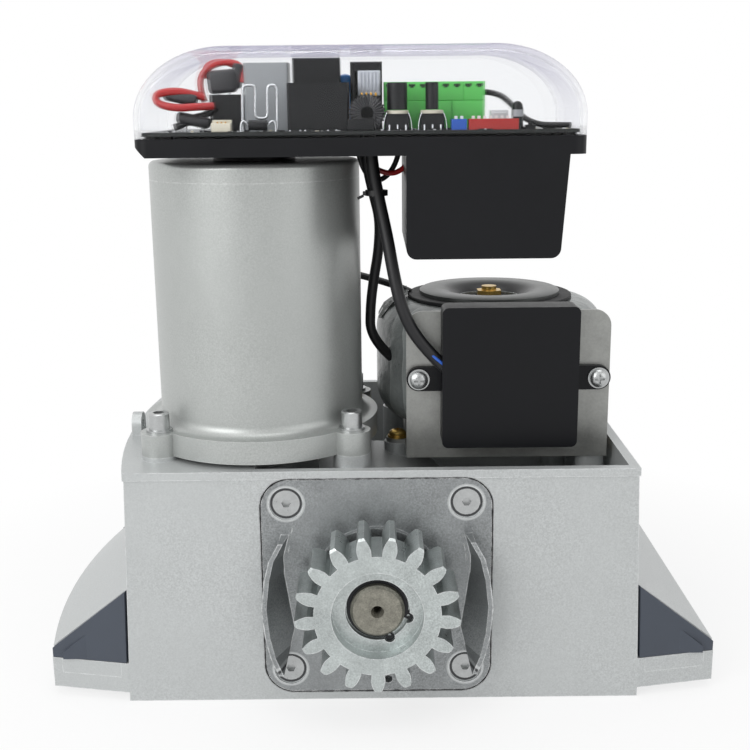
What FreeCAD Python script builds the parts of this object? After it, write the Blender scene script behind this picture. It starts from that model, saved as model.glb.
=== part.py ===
import FreeCAD, Part
import math
import os
import Sketcher

# Sliding gate motor, in millimetres.
# The origin is the centre of the foundation bolt pattern, on the floor plane.
# X runs to the right as seen from the gate, Y away from the gate, Z up.

V = FreeCAD.Vector
TO_FRONT = FreeCAD.Rotation(V(1, 0, 0), 90)
TO_BACK = FreeCAD.Rotation(V(1, 0, 0), -90)
UPSIDE_DOWN = FreeCAD.Rotation(V(1, 0, 0), 180)

SIZES = [
    # base housing
    ("base_depth", 175.0),
    ("base_height", 117.6),
    ("foot_half_width", 124.5),
    ("rim_half_width", 120.5),
    ("side_bulge", 10.0),
    ("base_wall", 4.0),
    ("base_floor", 6.0),
    ("rim_lip_height", 4.0),
    ("rim_lip_step", 0.6),
    ("wing_half_width", 163.0),
    ("wing_bulge", 8.0),
    ("wing_setback", 7.5),
    ("wing_root", 118.0),
    ("wing_low", 4.5),
    ("cover_low", 20.0),
    ("band_top", 25.0),
    ("slope_top", 58.0),
    ("tunnel_inner", 128.0),
    ("tunnel_wall", 5.0),
    ("flange_thickness", 8.0),
    ("deck_thickness", 5.0),
    ("deck_edge", -59.5),
    ("deck_shelf_edge", -36.0),
    ("deck_shelf_front", -50.0),
    ("deck_shelf_back", 6.0),
    ("bolt_spacing_across", 286.0),
    ("bolt_spacing_deep", 120.0),
    ("bolt_slot_width", 9.0),
    ("bolt_slot_length", 20.0),
    ("bolt_pad_radius", 13.0),
    ("conduit_radius", 20.0),
    ("conduit_across", 84.0),
    ("conduit_back", 5.0),
    ("lug_across", -126.5),
    ("lug_back", -20.5),
    ("lug_thickness", 5.0),
    ("lug_width", 12.0),
    ("lug_height", 11.0),
    ("lug_hole_radius", 2.2),
    # bolt covers
    ("cover_thickness", 3.0),
    ("cover_gap", 0.3),
    ("cover_plug_depth", 8.0),
    ("cover_plug_reach", 12.0),
    ("cover_plug_inset", 1.2),
    ("cover_plug_top_inset", 1.8),
    # output line
    ("pinion_across", -2.5),
    ("pinion_axis_height", 58.9),
    ("pinion_module", 4.0),
    ("pinion_teeth", 17),
    ("pinion_width", 24.0),
    ("pinion_chamfer", 1.0),
    ("pinion_gap", 8.0),
    ("pinion_backlash", 0.3),
    ("recess_radius", 21.0),
    ("recess_depth", 7.0),
    ("clip_pocket_radius", 14.8),
    ("clip_pocket_depth", 3.0),
    ("pressure_angle", 20.0),
    ("shaft_radius", 12.5),
    ("shaft_tip_chamfer", 1.25),
    ("centre_hole_radius", 1.8),
    ("centre_hole_depth", 9.0),
    ("centre_hole_point", 10.8),
    ("shaft_tip_stand", 5.0),
    ("collar_radius", 17.0),
    ("wheel_seat_radius", 14.0),
    ("running_clearance", 0.05),
    ("shaft_end_gap", 1.0),
    ("thread_bite", 0.2),
    ("key_width", 8.0),
    ("key_height", 7.0),
    ("key_depth", 3.99),
    ("pinion_key_length", 11.2),
    ("key_length", 18.0),
    ("clip_thickness", 1.2),
    ("clip_groove_depth", 0.72),
    ("clip_seat_depth", 0.48),
    ("clip_radius", 14.2),
    ("clip_lug_radius", 2.2),
    ("clip_lug_offset", 1.32),
    ("clip_mouth_margin", 1.1),
    ("clip_hole_radius", 0.9),
    ("clip_lug_spread", 26.0),
    ("clip_lug_turn", -42.0),
    ("bearing_radius", 26.0),
    ("bearing_width", 15.0),
    ("bearing_ring_share", 0.22),
    ("bearing_shield_share", 0.08),
    ("bearing_inner_radius", 12.5),
    ("seal_radius", 23.5),
    ("seal_width", 7.0),
    ("seal_shell", 4.0),
    ("seal_case", 2.0),
    ("seal_heel", 3.0),
    ("seal_heel_depth", 5.6),
    ("seal_lip", 1.0),
    # output flange
    ("plate_side", 109.0),
    ("plate_corner", 14.0),
    ("plate_thickness", 10.0),
    ("plate_gap", 0.5),
    ("plate_boss_radius", 31.0),
    ("plate_boss_front", 3.0),
    ("plate_boss_back", 12.0),
    ("plate_screw_offset", 42.5),
    ("spigot_depth", 4.0),
    ("spigot_clearance", 0.1),
    ("sink_radius", 8.0),
    ("sink_depth", 1.0),
    ("wing_guard_radius", 54.0),
    ("wing_guard_height", 13.0),
    ("wing_guard_top_angle", 141.0),
    ("wing_guard_low_angle", 211.0),
    ("wing_guard_root", 10.5),
    ("wing_guard_rim", 3.2),
    ("wing_guard_lean", 1.2),
    ("wing_guard_inset_angle", 7.0),
    ("drain_radius", 2.0),
    ("drain_across", 5.0),
    ("drain_low", 48.5),
    # gear chamber
    ("chamber_radius", 44.0),
    ("chamber_wall", 4.0),
    ("motor_boss_depth", 16.0),
    ("chamber_back", -9.0),
    ("front_block_half_width", 60.0),
    ("front_block_depth", 14.0),
    ("back_boss_radius", 31.0),
    ("back_boss_end", 11.0),
    # worm gear pair
    ("worm_module", 2.5),
    ("worm_dedendum", 3.125),
    ("wheel_teeth", 31),
    ("centre_distance", 58.0),
    ("wheel_width", 24.0),
    ("wheel_gash_width", 28.8),
    ("wheel_corner_radius", 42.5),
    ("wheel_web", 10.0),
    ("wheel_rim_inner", 33.0),
    ("wheel_hub_radius", 22.0),
    ("wheel_hub_front", 3.0),
    ("wheel_hub_back", 3.0),
    ("worm_backlash", 0.5),
    ("worm_turns", 6),
    ("worm_core_length", 56.0),
    # motor
    ("motor_back", -25.5),
    ("tower_radius", 28.0),
    ("tower_bore_radius", 23.5),
    ("low_bearing_radius", 17.5),
    ("low_bearing_inner", 7.5),
    ("low_bearing_width", 11.0),
    ("low_bearing_height", 16.0),
    ("mid_bearing_radius", 20.0),
    ("mid_bearing_inner", 8.5),
    ("mid_bearing_width", 12.0),
    ("top_bearing_radius", 16.0),
    ("top_bearing_inner", 6.0),
    ("top_bearing_width", 10.0),
    ("motor_radius", 51.3),
    ("motor_wall", 4.0),
    ("motor_cap_web", 5.6),
    ("motor_flange_radius", 59.0),
    ("motor_rise", 2.2),
    ("motor_flange_thickness", 11.2),
    ("motor_root_fillet", 5.0),
    ("motor_floor", 3.0),
    ("motor_spigot", 6.0),
    ("motor_case_length", 129.6),
    ("motor_cap_height", 8.6),
    ("motor_cap_edge", 2.5),
    ("motor_bolt_across", 46.5),
    ("motor_bolt_deep", 38.6),
    ("ear_radius", 9.0),
    ("bolt_head_radius", 5.0),
    ("bolt_head_height", 8.0),
    ("bolt_radius", 3.0),
    ("bolt_length", 21.0),
    ("washer_radius", 6.3),
    ("washer_thickness", 1.3),
    ("socket_flat", 4.0),
    ("socket_depth", 2.31),
    ("screw_clearance", 0.1),
    ("magnet_thickness", 6.0),
    ("magnet_rise", 19.0),
    ("magnet_height", 66.0),
    ("magnet_count", 4),
    ("magnet_gap_angle", 24.0),
    ("air_gap", 0.8),
    ("armature_slots", 12),
    ("armature_slot_width", 6.0),
    ("armature_slot_floor_half", 1.8),
    ("armature_slot_mouth_half", 1.2),
    ("armature_slot_lip", 1.5),
    ("winding_inset", 3.0),
    ("winding_bar_depth", 9.6),
    ("winding_bar_width", 3.3),
    ("armature_slot_depth", 12.0),
    ("winding_overhang", 9.0),
    ("commutator_radius", 15.0),
    ("commutator_height", 14.0),
    ("commutator_face", 12.04),
    ("commutator_gap", 3.0),
    ("brush_width", 6.0),
    ("brush_height", 9.0),
    ("brush_length", 16.0),
    ("brush_gap", 0.3),
    ("holder_height", 13.0),
    ("holder_ring_width", 6.0),
    # manual release
    ("lever_hinge_back", 13.0),
    ("lever_hub_radius", 9.0),
    ("lever_cam_offset", 3.0),
    ("lever_height", 23.0),
    ("lever_pocket_start", 14.4),
    ("lever_pocket_margin", 5.75),
    ("lever_pocket_end", 14.0),
    ("lever_thickness", 12.0),
    ("lever_length", 78.0),
    ("lever_pin_radius", 3.0),
    ("lever_lug_thickness", 5.0),
    ("lever_lug_half_width", 9.0),
    ("lever_gap", 0.5),
    ("lock_radius", 7.0),
    ("lock_across", 58.0),
    ("lock_stand", 1.5),
    ("key_slot_width", 1.6),
    ("key_slot_length", 8.0),
    ("rod_radius", 4.0),
    ("rod_guide_radius", 8.0),
    ("rod_guide_length", 10.0),
    ("rod_guide_depth", 12.0),
    ("rod_cam_gap", 0.3),
    ("rod_socket_radius", 5.5),
    ("rod_socket_depth", 16.0),
    ("rod_reach", 8.0),
    # transformer and its bracket
    ("toroid_across", 59.7),
    ("toroid_back", 15.5),
    ("toroid_radius", 61.0),
    ("toroid_rise", 0.4),
    ("toroid_height", 64.0),
    ("toroid_edge", 16.0),
    ("toroid_bore_radius", 16.0),
    ("pad_radius", 44.0),
    ("pad_thickness", 2.0),
    ("dish_radius", 37.5),
    ("dish_inner_radius", 22.0),
    ("dish_depth", 3.0),
    ("dish_thickness", 1.5),
    ("clamp_bolt_radius", 4.0),
    ("clamp_nut_flat", 13.0),
    ("clamp_nut_height", 7.0),
    ("clamp_flange_radius", 9.0),
    ("clamp_head_radius", 7.2),
    ("clamp_stud_rise", 11.9),
    ("clamp_flange_height", 1.8),
    ("bracket_left", 12.9),
    ("bracket_right", 112.7),
    ("bracket_front", -50.1),
    ("bracket_back", 78.0),
    ("bracket_drop", 6.0),
    ("bracket_height", 74.1),
    ("bracket_sheet", 2.0),
    ("bracket_corner", 8.0),
    ("bracket_tab", 12.0),
    ("tab_screw_across", 9.1),
    ("tab_screw_front", -19.5),
    ("tab_screw_back", 50.5),
    ("side_screw_across", 106.0),
    ("side_screw_front", -41.0),
    ("side_screw_back", 70.0),
    ("post_radius", 7.0),
    ("small_screw_radius", 2.0),
    ("small_screw_length", 10.0),
    ("small_head_radius", 4.4),
    ("small_head_flat", 1.98),
    ("cross_slot_half", 0.572),
    ("cross_slot_reach", 2.42),
    ("cross_slot_depth", 1.8),
    ("small_head_height", 3.0),
    ("small_washer_radius", 5.2),
    ("small_washer_thickness", 1.0),
    ("box_left", 29.7),
    ("box_right", 95.0),
    ("box_rise", 9.4),
    ("box_height", 68.9),
    ("box_depth", 15.0),
    ("box_corner", 3.0),
    ("box_ear_height", 12.0),
    ("box_ear_thickness", 3.0),
    ("box_ear_rise", 31.6),
    ("box_screw_inset", 10.9),
    ("box_screw_edge", 5.995),
    # control unit
    ("tray_left", -107.5),
    ("tray_right", 92.0),
    ("tray_front", -85.1),
    ("tray_depth", 88.0),
    ("tray_rise", 3.4),
    ("tray_rim_height", 8.0),
    ("tray_wall", 2.5),
    ("cover_post_inset", 7.5),
    ("tray_floor", 2.0),
    ("tray_corner", 6.0),
    ("tray_chamfer", 5.0),
    ("well_left", 12.2),
    ("well_right", 84.3),
    ("well_height", 45.7),
    ("well_draft", 3.0),
    ("well_depth", 78.0),
    ("well_edge", 4.5),
    ("tray_foot_radius", 20.0),
    ("cable_hole_radius", 9.0),
    ("cable_hole_across", -5.0),
    ("cable_hole_back", -44.5),
    ("dome_height", 39.3),
    ("dome_wall", 2.0),
    ("dome_end_reach", 41.0),
    ("dome_end_drop", 31.0),
    ("dome_edge", 6.0),
    ("board_thickness", 1.6),
    ("board_gap", 2.8),
    ("board_margin", 3.5),
    ("board_post_radius", 3.5),
    ("board_back_margin", 3.5),
    ("small_relay_left", -76.0),
    ("small_relay_length", 15.5),
    ("small_relay_width", 12.0),
    ("small_relay_height", 16.2),
    ("grey_relay_left", -60.2),
    ("grey_relay_length", 20.0),
    ("grey_relay_width", 16.0),
    ("grey_relay_height", 29.9),
    ("tall_relay_left", -38.2),
    ("tall_relay_length", 21.3),
    ("tall_relay_width", 16.0),
    ("tall_relay_height", 31.8),
    ("low_relay_left", -40.2),
    ("low_relay_length", 27.4),
    ("low_relay_width", 10.0),
    ("low_relay_height", 20.8),
    ("relay_row", -64.0),
    ("relay_edge", 1.0),
    ("jack_left", -12.3),
    ("jack_length", 14.4),
    ("jack_width", 16.0),
    ("jack_low", 14.8),
    ("jack_height", 29.9),
    ("jack_row", -62.0),
    ("coil_radius", 7.6),
    ("coil_bore_radius", 3.6),
    ("coil_width", 8.0),
    ("coil_across", -4.8),
    ("coil_row", -78.5),
    ("terminal_left", 2.8),
    ("terminal_length", 46.0),
    ("terminal_width", 12.0),
    ("terminal_height", 21.0),
    ("terminal_row", -60.0),
    ("terminal_ways", 9),
    ("terminal_port_width", 3.2),
    ("terminal_port_height", 4.5),
    ("terminal_screw_radius", 1.5),
    ("trimmer_row", -73.0),
    ("trimmer_first", 8.6),
    ("trimmer_second", 24.0),
    ("trimmer_side", 11.0),
    ("trimmer_height", 7.0),
    ("trimmer_ring_radius", 4.9),
    ("trimmer_ring_height", 1.5),
    ("knob_radius", 4.5),
    ("slim_knob_radius", 2.9),
    ("knob_height", 11.7),
    ("knob_slot_width", 1.2),
    ("knob_slot_depth", 1.5),
    ("knob_gap", 0.3),
    ("dip_row", -80.5),
    ("dip_width", 7.0),
    ("dip_height", 4.6),
    ("dip_pitch", 2.54),
    ("dip_margin", 0.8),
    ("dip_lever_width", 1.3),
    ("dip_lever_length", 1.5),
    ("dip_lever_height", 2.0),
    ("dip_slot_length", 3.6),
    ("dip_slot_depth", 1.0),
    ("dip_slot_gap", 0.3),
    ("dip_blue_left", 32.3),
    ("dip_red_left", 39.9),
    ("tact_left", 65.0),
    ("tact_row", -79.5),
    ("tact_side", 4.5),
    ("tact_height", 1.8),
    ("tact_button_radius", 1.0),
    ("tact_button_height", 1.5),
    ("tact_well_depth", 0.6),
    # cables
    ("sheath_radius", 3.0),
    ("lead_radius", 2.6),
    ("antenna_radius", 1.3),
]

doc = FreeCAD.newDocument("sliding_gate_motor")
sheet = doc.addObject("Spreadsheet::Sheet", "Sizes")


class Size:
    """A number that remembers the cells it comes from."""

    def __init__(self, number, text):
        self.number = number
        self.text = text

    def __add__(self, other):
        other = as_size(other)
        return Size(self.number + other.number, "(" + self.text + " + " + other.text + ")")

    def __radd__(self, other):
        return as_size(other) + self

    def __sub__(self, other):
        other = as_size(other)
        return Size(self.number - other.number, "(" + self.text + " - " + other.text + ")")

    def __rsub__(self, other):
        return as_size(other) - self

    def __mul__(self, other):
        other = as_size(other)
        return Size(self.number * other.number, "(" + self.text + " * " + other.text + ")")

    def __rmul__(self, other):
        return as_size(other) * self

    def __truediv__(self, other):
        other = as_size(other)
        return Size(self.number / other.number, "(" + self.text + " / " + other.text + ")")

    def __rtruediv__(self, other):
        return as_size(other) / self

    def __neg__(self):
        return Size(-self.number, "(0 - " + self.text + ")")

    def __float__(self):
        return float(self.number)


def as_size(value):
    """Any number as a Size."""
    if isinstance(value, Size):
        return value
    return Size(float(value), "(" + repr(float(value)) + ")")


def sine(angle):
    """The sine of an angle in degrees."""
    angle = as_size(angle)
    return Size(math.sin(math.radians(angle.number)), "sin(" + angle.text + " * 1 deg)")


def cosine(angle):
    """The cosine of an angle in degrees."""
    angle = as_size(angle)
    return Size(math.cos(math.radians(angle.number)), "cos(" + angle.text + " * 1 deg)")


def root(value):
    """The square root of a number."""
    value = as_size(value)
    return Size(math.sqrt(value.number), "sqrt(" + value.text + ")")


class SizeTable:
    """The driving dimensions, one attribute for each cell of the sheet."""

    def __init__(self, rows):
        for row, (alias, number) in enumerate(rows, start=1):
            cell = "B" + str(row)
            sheet.set("A" + str(row), alias)
            sheet.set(cell, str(number))
            sheet.setAlias(cell, alias)
            setattr(self, alias, Size(float(number), "Sizes." + alias))


s = SizeTable(SIZES)
doc.recompute()

nodes = []
cutting_features = []


def node(thing, label):
    """Names a finished piece."""
    thing.Label = label
    nodes.append(thing)
    return thing


def bind(thing, path, value):
    """Ties a property to the cells behind a size."""
    thing.setExpression(path, as_size(value).text)


def place(thing, at=(0, 0, 0), turn=None):
    """Stands a thing at a point, after an optional turn."""
    base = V(float(at[0]), float(at[1]), float(at[2]))
    thing.Placement = FreeCAD.Placement(base, turn or FreeCAD.Rotation())
    for axis, value in zip("xyz", at):
        bind(thing, "Placement.Base." + axis, value)
    return thing


def box(name, length, width, height, at=(0, 0, 0), turn=None):
    """A box whose lowest corner is at a point."""
    thing = doc.addObject("Part::Box", name)
    bind(thing, "Length", length)
    bind(thing, "Width", width)
    bind(thing, "Height", height)
    return place(thing, at, turn)


def cylinder(name, radius, height, at=(0, 0, 0), turn=None):
    """A cylinder that rises from a point."""
    thing = doc.addObject("Part::Cylinder", name)
    bind(thing, "Radius", radius)
    bind(thing, "Height", height)
    return place(thing, at, turn)


def cone(name, low_radius, high_radius, height, at=(0, 0, 0), turn=None):
    """A cone that rises from a point."""
    thing = doc.addObject("Part::Cone", name)
    bind(thing, "Radius1", low_radius)
    bind(thing, "Radius2", high_radius)
    bind(thing, "Height", height)
    return place(thing, at, turn)


def fuse(name, *pieces):
    """Several pieces joined into one."""
    thing = doc.addObject("Part::MultiFuse", name)
    thing.Shapes = list(pieces)
    return thing


def cut(name, base, *tools):
    """A piece less the tools."""
    thing = doc.addObject("Part::Cut", name)
    thing.Base = base
    thing.Tool = tools[0] if len(tools) == 1 else fuse(name + "_tools", *tools)
    return thing


def group(name, *pieces):
    """Separate solids that share one node."""
    thing = doc.addObject("Part::Compound", name)
    thing.Links = list(pieces)
    return thing


def copies(name, source, places):
    """Copies of one piece, each at its own place."""
    links = []
    for number, (at, turn) in enumerate(places, start=1):
        link = doc.addObject("App::Link", name + "_" + str(number))
        link.LinkedObject = source
        place(link, at, turn)
        links.append(link)
    return group(name, *links)


def body(name, at=(0, 0, 0), turn=None):
    """An empty body that stands at a point."""
    return place(doc.addObject("PartDesign::Body", name), at, turn)


def sketch(owner, name, plane="XY_Plane", lift=0):
    """A sketch on one of the body's own planes, or lifted off it."""
    thing = owner.newObject("Sketcher::SketchObject", name)
    support = [item for item in owner.Origin.OriginFeatures if item.Role == plane][0]
    thing.AttachmentSupport = [(support, "")]
    thing.MapMode = "FlatFace"
    bind(thing, "AttachmentOffset.Base.z", lift)
    return thing


def fix_point(drawing, index, end, x, y, tag):
    """Holds one end of a line or arc at x, y from the sketch's origin."""
    for kind, axis, value in (("DistanceX", "x", x), ("DistanceY", "y", y)):
        row = drawing.addConstraint(Sketcher.Constraint(kind, -1, 1, index, end, float(value)))
        drawing.renameConstraint(row, axis + tag)
        bind(drawing, "Constraints." + axis + tag, value)


def outline(drawing, points):
    """A closed outline. A third value in a point is the radius of the arc that leaves it:
    above zero it bulges to the right of the way round, below zero to the left."""
    first = drawing.GeometryCount
    ends = []
    for number, point in enumerate(points):
        following = points[(number + 1) % len(points)]
        start = V(float(point[0]), float(point[1]), 0)
        finish = V(float(following[0]), float(following[1]), 0)
        if len(point) == 2:
            drawing.addGeometry(Part.LineSegment(start, finish), False)
            ends.append((1, 2))
            continue
        radius = abs(float(point[2]))
        side = 1 if float(point[2]) > 0 else -1
        along = (finish - start).normalize()
        right = V(along.y, -along.x, 0) * side
        reach = math.sqrt(max(radius ** 2 - (finish - start).Length ** 2 / 4, 0))
        centre = (start + finish) * 0.5 - right * reach
        low, high = (start, finish) if side > 0 else (finish, start)
        angles = [math.atan2(end.y - centre.y, end.x - centre.x) for end in (low, high)]
        circle = Part.Circle(centre, V(0, 0, 1), radius)
        drawing.addGeometry(Part.ArcOfCircle(circle, angles[0], angles[1]), False)
        ends.append((1, 2) if side > 0 else (2, 1))
    count = len(points)
    for number in range(count):
        following = (number + 1) % count
        drawing.addConstraint(Sketcher.Constraint(
            "Coincident", first + number, ends[number][1], first + following, ends[following][0]))
    for number, point in enumerate(points):
        tag = str(first + number)
        fix_point(drawing, first + number, ends[number][0], point[0], point[1], tag)
        if len(point) == 3:
            size = point[2] if float(point[2]) > 0 else -point[2]
            row = drawing.addConstraint(Sketcher.Constraint("Radius", first + number, float(size)))
            drawing.renameConstraint(row, "r" + tag)
            bind(drawing, "Constraints.r" + tag, size)
    return drawing


def disc(drawing, x, y, radius):
    """A full circle in a sketch."""
    index = drawing.addGeometry(Part.Circle(V(float(x), float(y), 0), V(0, 0, 1), float(radius)), False)
    fix_point(drawing, index, 3, x, y, str(index))
    row = drawing.addConstraint(Sketcher.Constraint("Radius", index, float(radius)))
    drawing.renameConstraint(row, "r" + str(index))
    bind(drawing, "Constraints.r" + str(index), radius)
    return drawing


def rounded(left, low, right, high, corner):
    """The points of a rectangle with round corners."""
    return [
        (left + corner, low),
        (right - corner, low, corner),
        (right, low + corner),
        (right, high - corner, corner),
        (right - corner, high),
        (left + corner, high, corner),
        (left, high - corner),
        (left, low + corner, corner),
    ]


def half_round(before, apex, after, radius):
    """Three points that turn back through two quarter arcs."""
    return [before + (radius,), apex + (radius,), after]


def pad(owner, drawing, length, backwards=False):
    """Material along the sketch's normal."""
    thing = owner.newObject("PartDesign::Pad", drawing.Name + "_pad")
    thing.Profile = drawing
    bind(thing, "Length", length)
    thing.Reversed = backwards
    return thing


def pocket(owner, drawing, length, backwards=False):
    """A cut against the sketch's normal."""
    thing = owner.newObject("PartDesign::Pocket", drawing.Name + "_pocket")
    thing.Profile = drawing
    bind(thing, "Length", length)
    thing.Reversed = backwards
    cutting_features.append(thing)
    return thing


def loft(owner, *sketches):
    """Material that runs straight from sketch to sketch."""
    thing = owner.newObject("PartDesign::AdditiveLoft", sketches[0].Name + "_loft")
    thing.Profile = sketches[0]
    thing.Sections = list(sketches[1:])
    thing.Ruled = True
    return thing


def turned(name, points, at=(0, 0, 0), turn=None):
    """A piece turned about its own Z axis, from points of radius and height."""
    owner = body(name, at, turn)
    drawing = outline(sketch(owner, name + "_profile", "XZ_Plane"), points)
    thing = owner.newObject("PartDesign::Revolution", name + "_turned")
    thing.Profile = drawing
    thing.ReferenceAxis = (drawing, ["V_Axis"])
    thing.Angle = 360
    return owner


def bulge_radius(chord, bulge):
    """The radius of an arc over a chord with a given height."""
    return (chord * chord / 4 + bulge * bulge) / (2 * bulge)


def tube(name, points, radius):
    """A cord laid as straight runs joined by tangent arcs."""
    points = [V(*point) for point in points]
    edges = []
    start = points[0]
    for before, corner, after in zip(points, points[1:], points[2:]):
        incoming = corner - before
        outgoing = after - corner
        turn = incoming.getAngle(outgoing)
        reach = 0.45 * min(incoming.Length, outgoing.Length)
        arc_start = corner - incoming.normalize() * reach
        arc_end = corner + outgoing.normalize() * reach
        bend = reach / math.tan(turn / 2)
        inward = (outgoing - incoming).normalize()
        centre = corner + inward * (bend / math.cos(turn / 2))
        middle = centre - inward * bend
        print(name, "bend radius", round(bend, 1), "turn", round(math.degrees(turn)))
        edges.append(Part.LineSegment(start, arc_start).toShape())
        edges.append(Part.Arc(arc_start, middle, arc_end).toShape())
        start = arc_end
    edges.append(Part.LineSegment(start, points[-1]).toShape())
    path = Part.Wire(edges)
    circle = Part.Circle(points[0], points[1] - points[0], float(radius))
    section = Part.Wire([circle.toShape()])
    thing = doc.addObject("Part::Feature", name)
    thing.Shape = path.makePipeShell([section], True, False)
    ideal = math.pi * float(radius) ** 2 * path.Length
    print(name, "volume over section times length", round(thing.Shape.Volume / ideal, 4))
    return node(thing, name)


def hexagon(flat):
    """The points of a hexagon with a given width over its flats."""
    reach = flat / root(as_size(3))
    return [(reach * cosine(60 * corner), reach * sine(60 * corner)) for corner in range(6)]


def involute(angle):
    """The involute function of a pressure angle in radians."""
    return math.tan(angle) - angle


def tooth_gap(drawing, module, teeth, spare, tip, bottom):
    """One gap between two involute teeth, centred on the sketch's -X side."""
    pitch = float(module) * float(teeth) / 2
    pressure = math.radians(float(s.pressure_angle))
    base = pitch * math.cos(pressure)

    def half_gap(radius):
        working = math.acos(min(base / radius, 1.0)) if radius > base else 0.0
        tooth = math.pi / (2 * float(teeth)) + involute(pressure) - involute(working)
        return math.pi / float(teeth) - tooth + float(spare) / 2 / pitch

    def on_flank(radius, side):
        angle = math.pi - side * half_gap(radius)
        return V(radius * math.cos(angle), radius * math.sin(angle), 0)

    start = max(base, bottom)
    middle = (start + tip) / 2
    low = [on_flank(start, side) for side in (-1, 1)]
    mid = [on_flank(middle, side) for side in (-1, 1)]
    high = [on_flank(tip, side) for side in (-1, 1)]
    floor = [point * (bottom / start) for point in low]
    past_tip = 1.12
    far = [point * past_tip for point in high]
    bed = V(-bottom, 0, 0)
    pieces = [
        Part.Arc(floor[0], bed, floor[1]),
        Part.Arc(low[1], mid[1], high[1]),
        Part.LineSegment(high[1], far[1]),
        Part.LineSegment(far[1], far[0]),
        Part.LineSegment(far[0], high[0]),
        Part.Arc(high[0], mid[0], low[0]),
    ]
    if start - bottom > 1e-6:
        pieces.append(Part.LineSegment(floor[1], low[1]))
        pieces.append(Part.LineSegment(low[0], floor[0]))
    drawing.addGeometry(pieces, False)
    return drawing


def patterned(owner, feature, count):
    """Repeats a cut evenly round the body's own Z axis."""
    thing = owner.newObject("PartDesign::PolarPattern", feature.Name + "_round")
    thing.Originals = [feature]
    axis = [item for item in owner.Origin.OriginFeatures if item.Role == "Z_Axis"][0]
    thing.Axis = (axis, [""])
    thing.Angle = 360
    bind(thing, "Occurrences", count)
    owner.Tip = thing
    return thing


# Places that several pieces share

motor_flange_low = s.base_height + s.motor_rise
motor_flange_high = motor_flange_low + s.motor_flange_thickness
motor_seam = motor_flange_low + s.motor_case_length
motor_top = motor_seam + s.motor_cap_height
magnet_low = motor_flange_high + s.magnet_rise
toroid_low = s.base_height + s.toroid_rise
bracket_low = s.base_height - s.bracket_drop
bracket_high = bracket_low + s.bracket_height
box_low = bracket_low + s.box_rise
box_high = box_low + s.box_height
box_ear_level = box_low + s.box_ear_rise
tray_low = motor_top + s.tray_rise
tray_high = tray_low + s.tray_rim_height
well_low = tray_low - s.well_height
dome_high = tray_high + s.dome_height
half_depth = s.base_depth / 2
front_y = -half_depth
motor_across = s.pinion_across - s.centre_distance
plate_back_y = front_y + s.plate_thickness
pinion_back_y = front_y - s.pinion_gap
pinion_front_y = pinion_back_y - s.pinion_width
shaft_tip_y = pinion_front_y + s.shaft_tip_stand
front_bearing_y = plate_back_y - s.plate_boss_front - s.plate_thickness + s.seal_width + s.seal_lip
collar_front_y = front_bearing_y + s.bearing_width
hub_front_y = s.motor_back - s.wheel_width / 2 - s.wheel_hub_front
hub_back_y = s.motor_back + s.wheel_width / 2 + s.wheel_hub_back
back_bearing_y = s.chamber_back
shaft_end_y = back_bearing_y + s.bearing_width
hinge_y = half_depth + s.lever_hinge_back
shelf_top = bracket_low + s.bracket_sheet
board_top = tray_high + s.board_gap
board_low = board_top - s.board_thickness
worm_pitch_radius = s.centre_distance - s.worm_module * s.wheel_teeth / 2
worm_tip_radius = worm_pitch_radius + s.worm_module
worm_root_radius = worm_pitch_radius - s.worm_dedendum
worm_lead = math.pi * s.worm_module
wheel_root_radius = s.worm_module * s.wheel_teeth / 2 - s.worm_dedendum
wheel_tip_radius = s.worm_module * s.wheel_teeth / 2 + s.worm_module
motor_bolt_places = [
    (motor_across + across * s.motor_bolt_across, s.motor_back + deep * s.motor_bolt_deep)
    for across in (-1, 1) for deep in (-1, 1)
]
tab_screw_places = [
    (s.tab_screw_across, s.tab_screw_front),
    (s.tab_screw_across, s.tab_screw_back),
    (s.side_screw_across, s.side_screw_front),
    (s.side_screw_across, s.side_screw_back),
]


# Base housing: a cast tub with a raised deck, side wings, a gear chamber and a worm tower

def shell_outline(half_width, inset=0, bulge=s.side_bulge):
    """The plan of the tub: straight on the right, bowed on the left."""
    deep = half_depth - inset
    return [
        (-half_width, -deep),
        (half_width, -deep),
        (half_width, deep),
        (-half_width, deep, bulge_radius(deep * 2, bulge)),
    ]


def wing_section(owner, name, lift, reach, side, inset, bulge):
    """A level cut through one side wing."""
    drawing = sketch(owner, name, "XY_Plane", lift)
    corner = half_depth - inset
    if float(reach) > float(s.foot_half_width):
        corner = corner - s.wing_setback
    inner = s.wing_root * side
    outer = reach * side
    deep = half_depth - inset
    if side > 0:
        return outline(drawing, [(inner, -deep), (outer, -corner), (outer, corner), (inner, deep)])
    arc = bulge_radius(corner * 2, bulge)
    return outline(drawing, [(inner, -deep), (inner, deep), (outer, corner, arc), (outer, -corner)])


def wall_reach(height):
    """Half the width of the tub's wall at a height, drafted from foot to rim."""
    return s.foot_half_width - (s.foot_half_width - s.rim_half_width) * height / s.base_height


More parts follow.
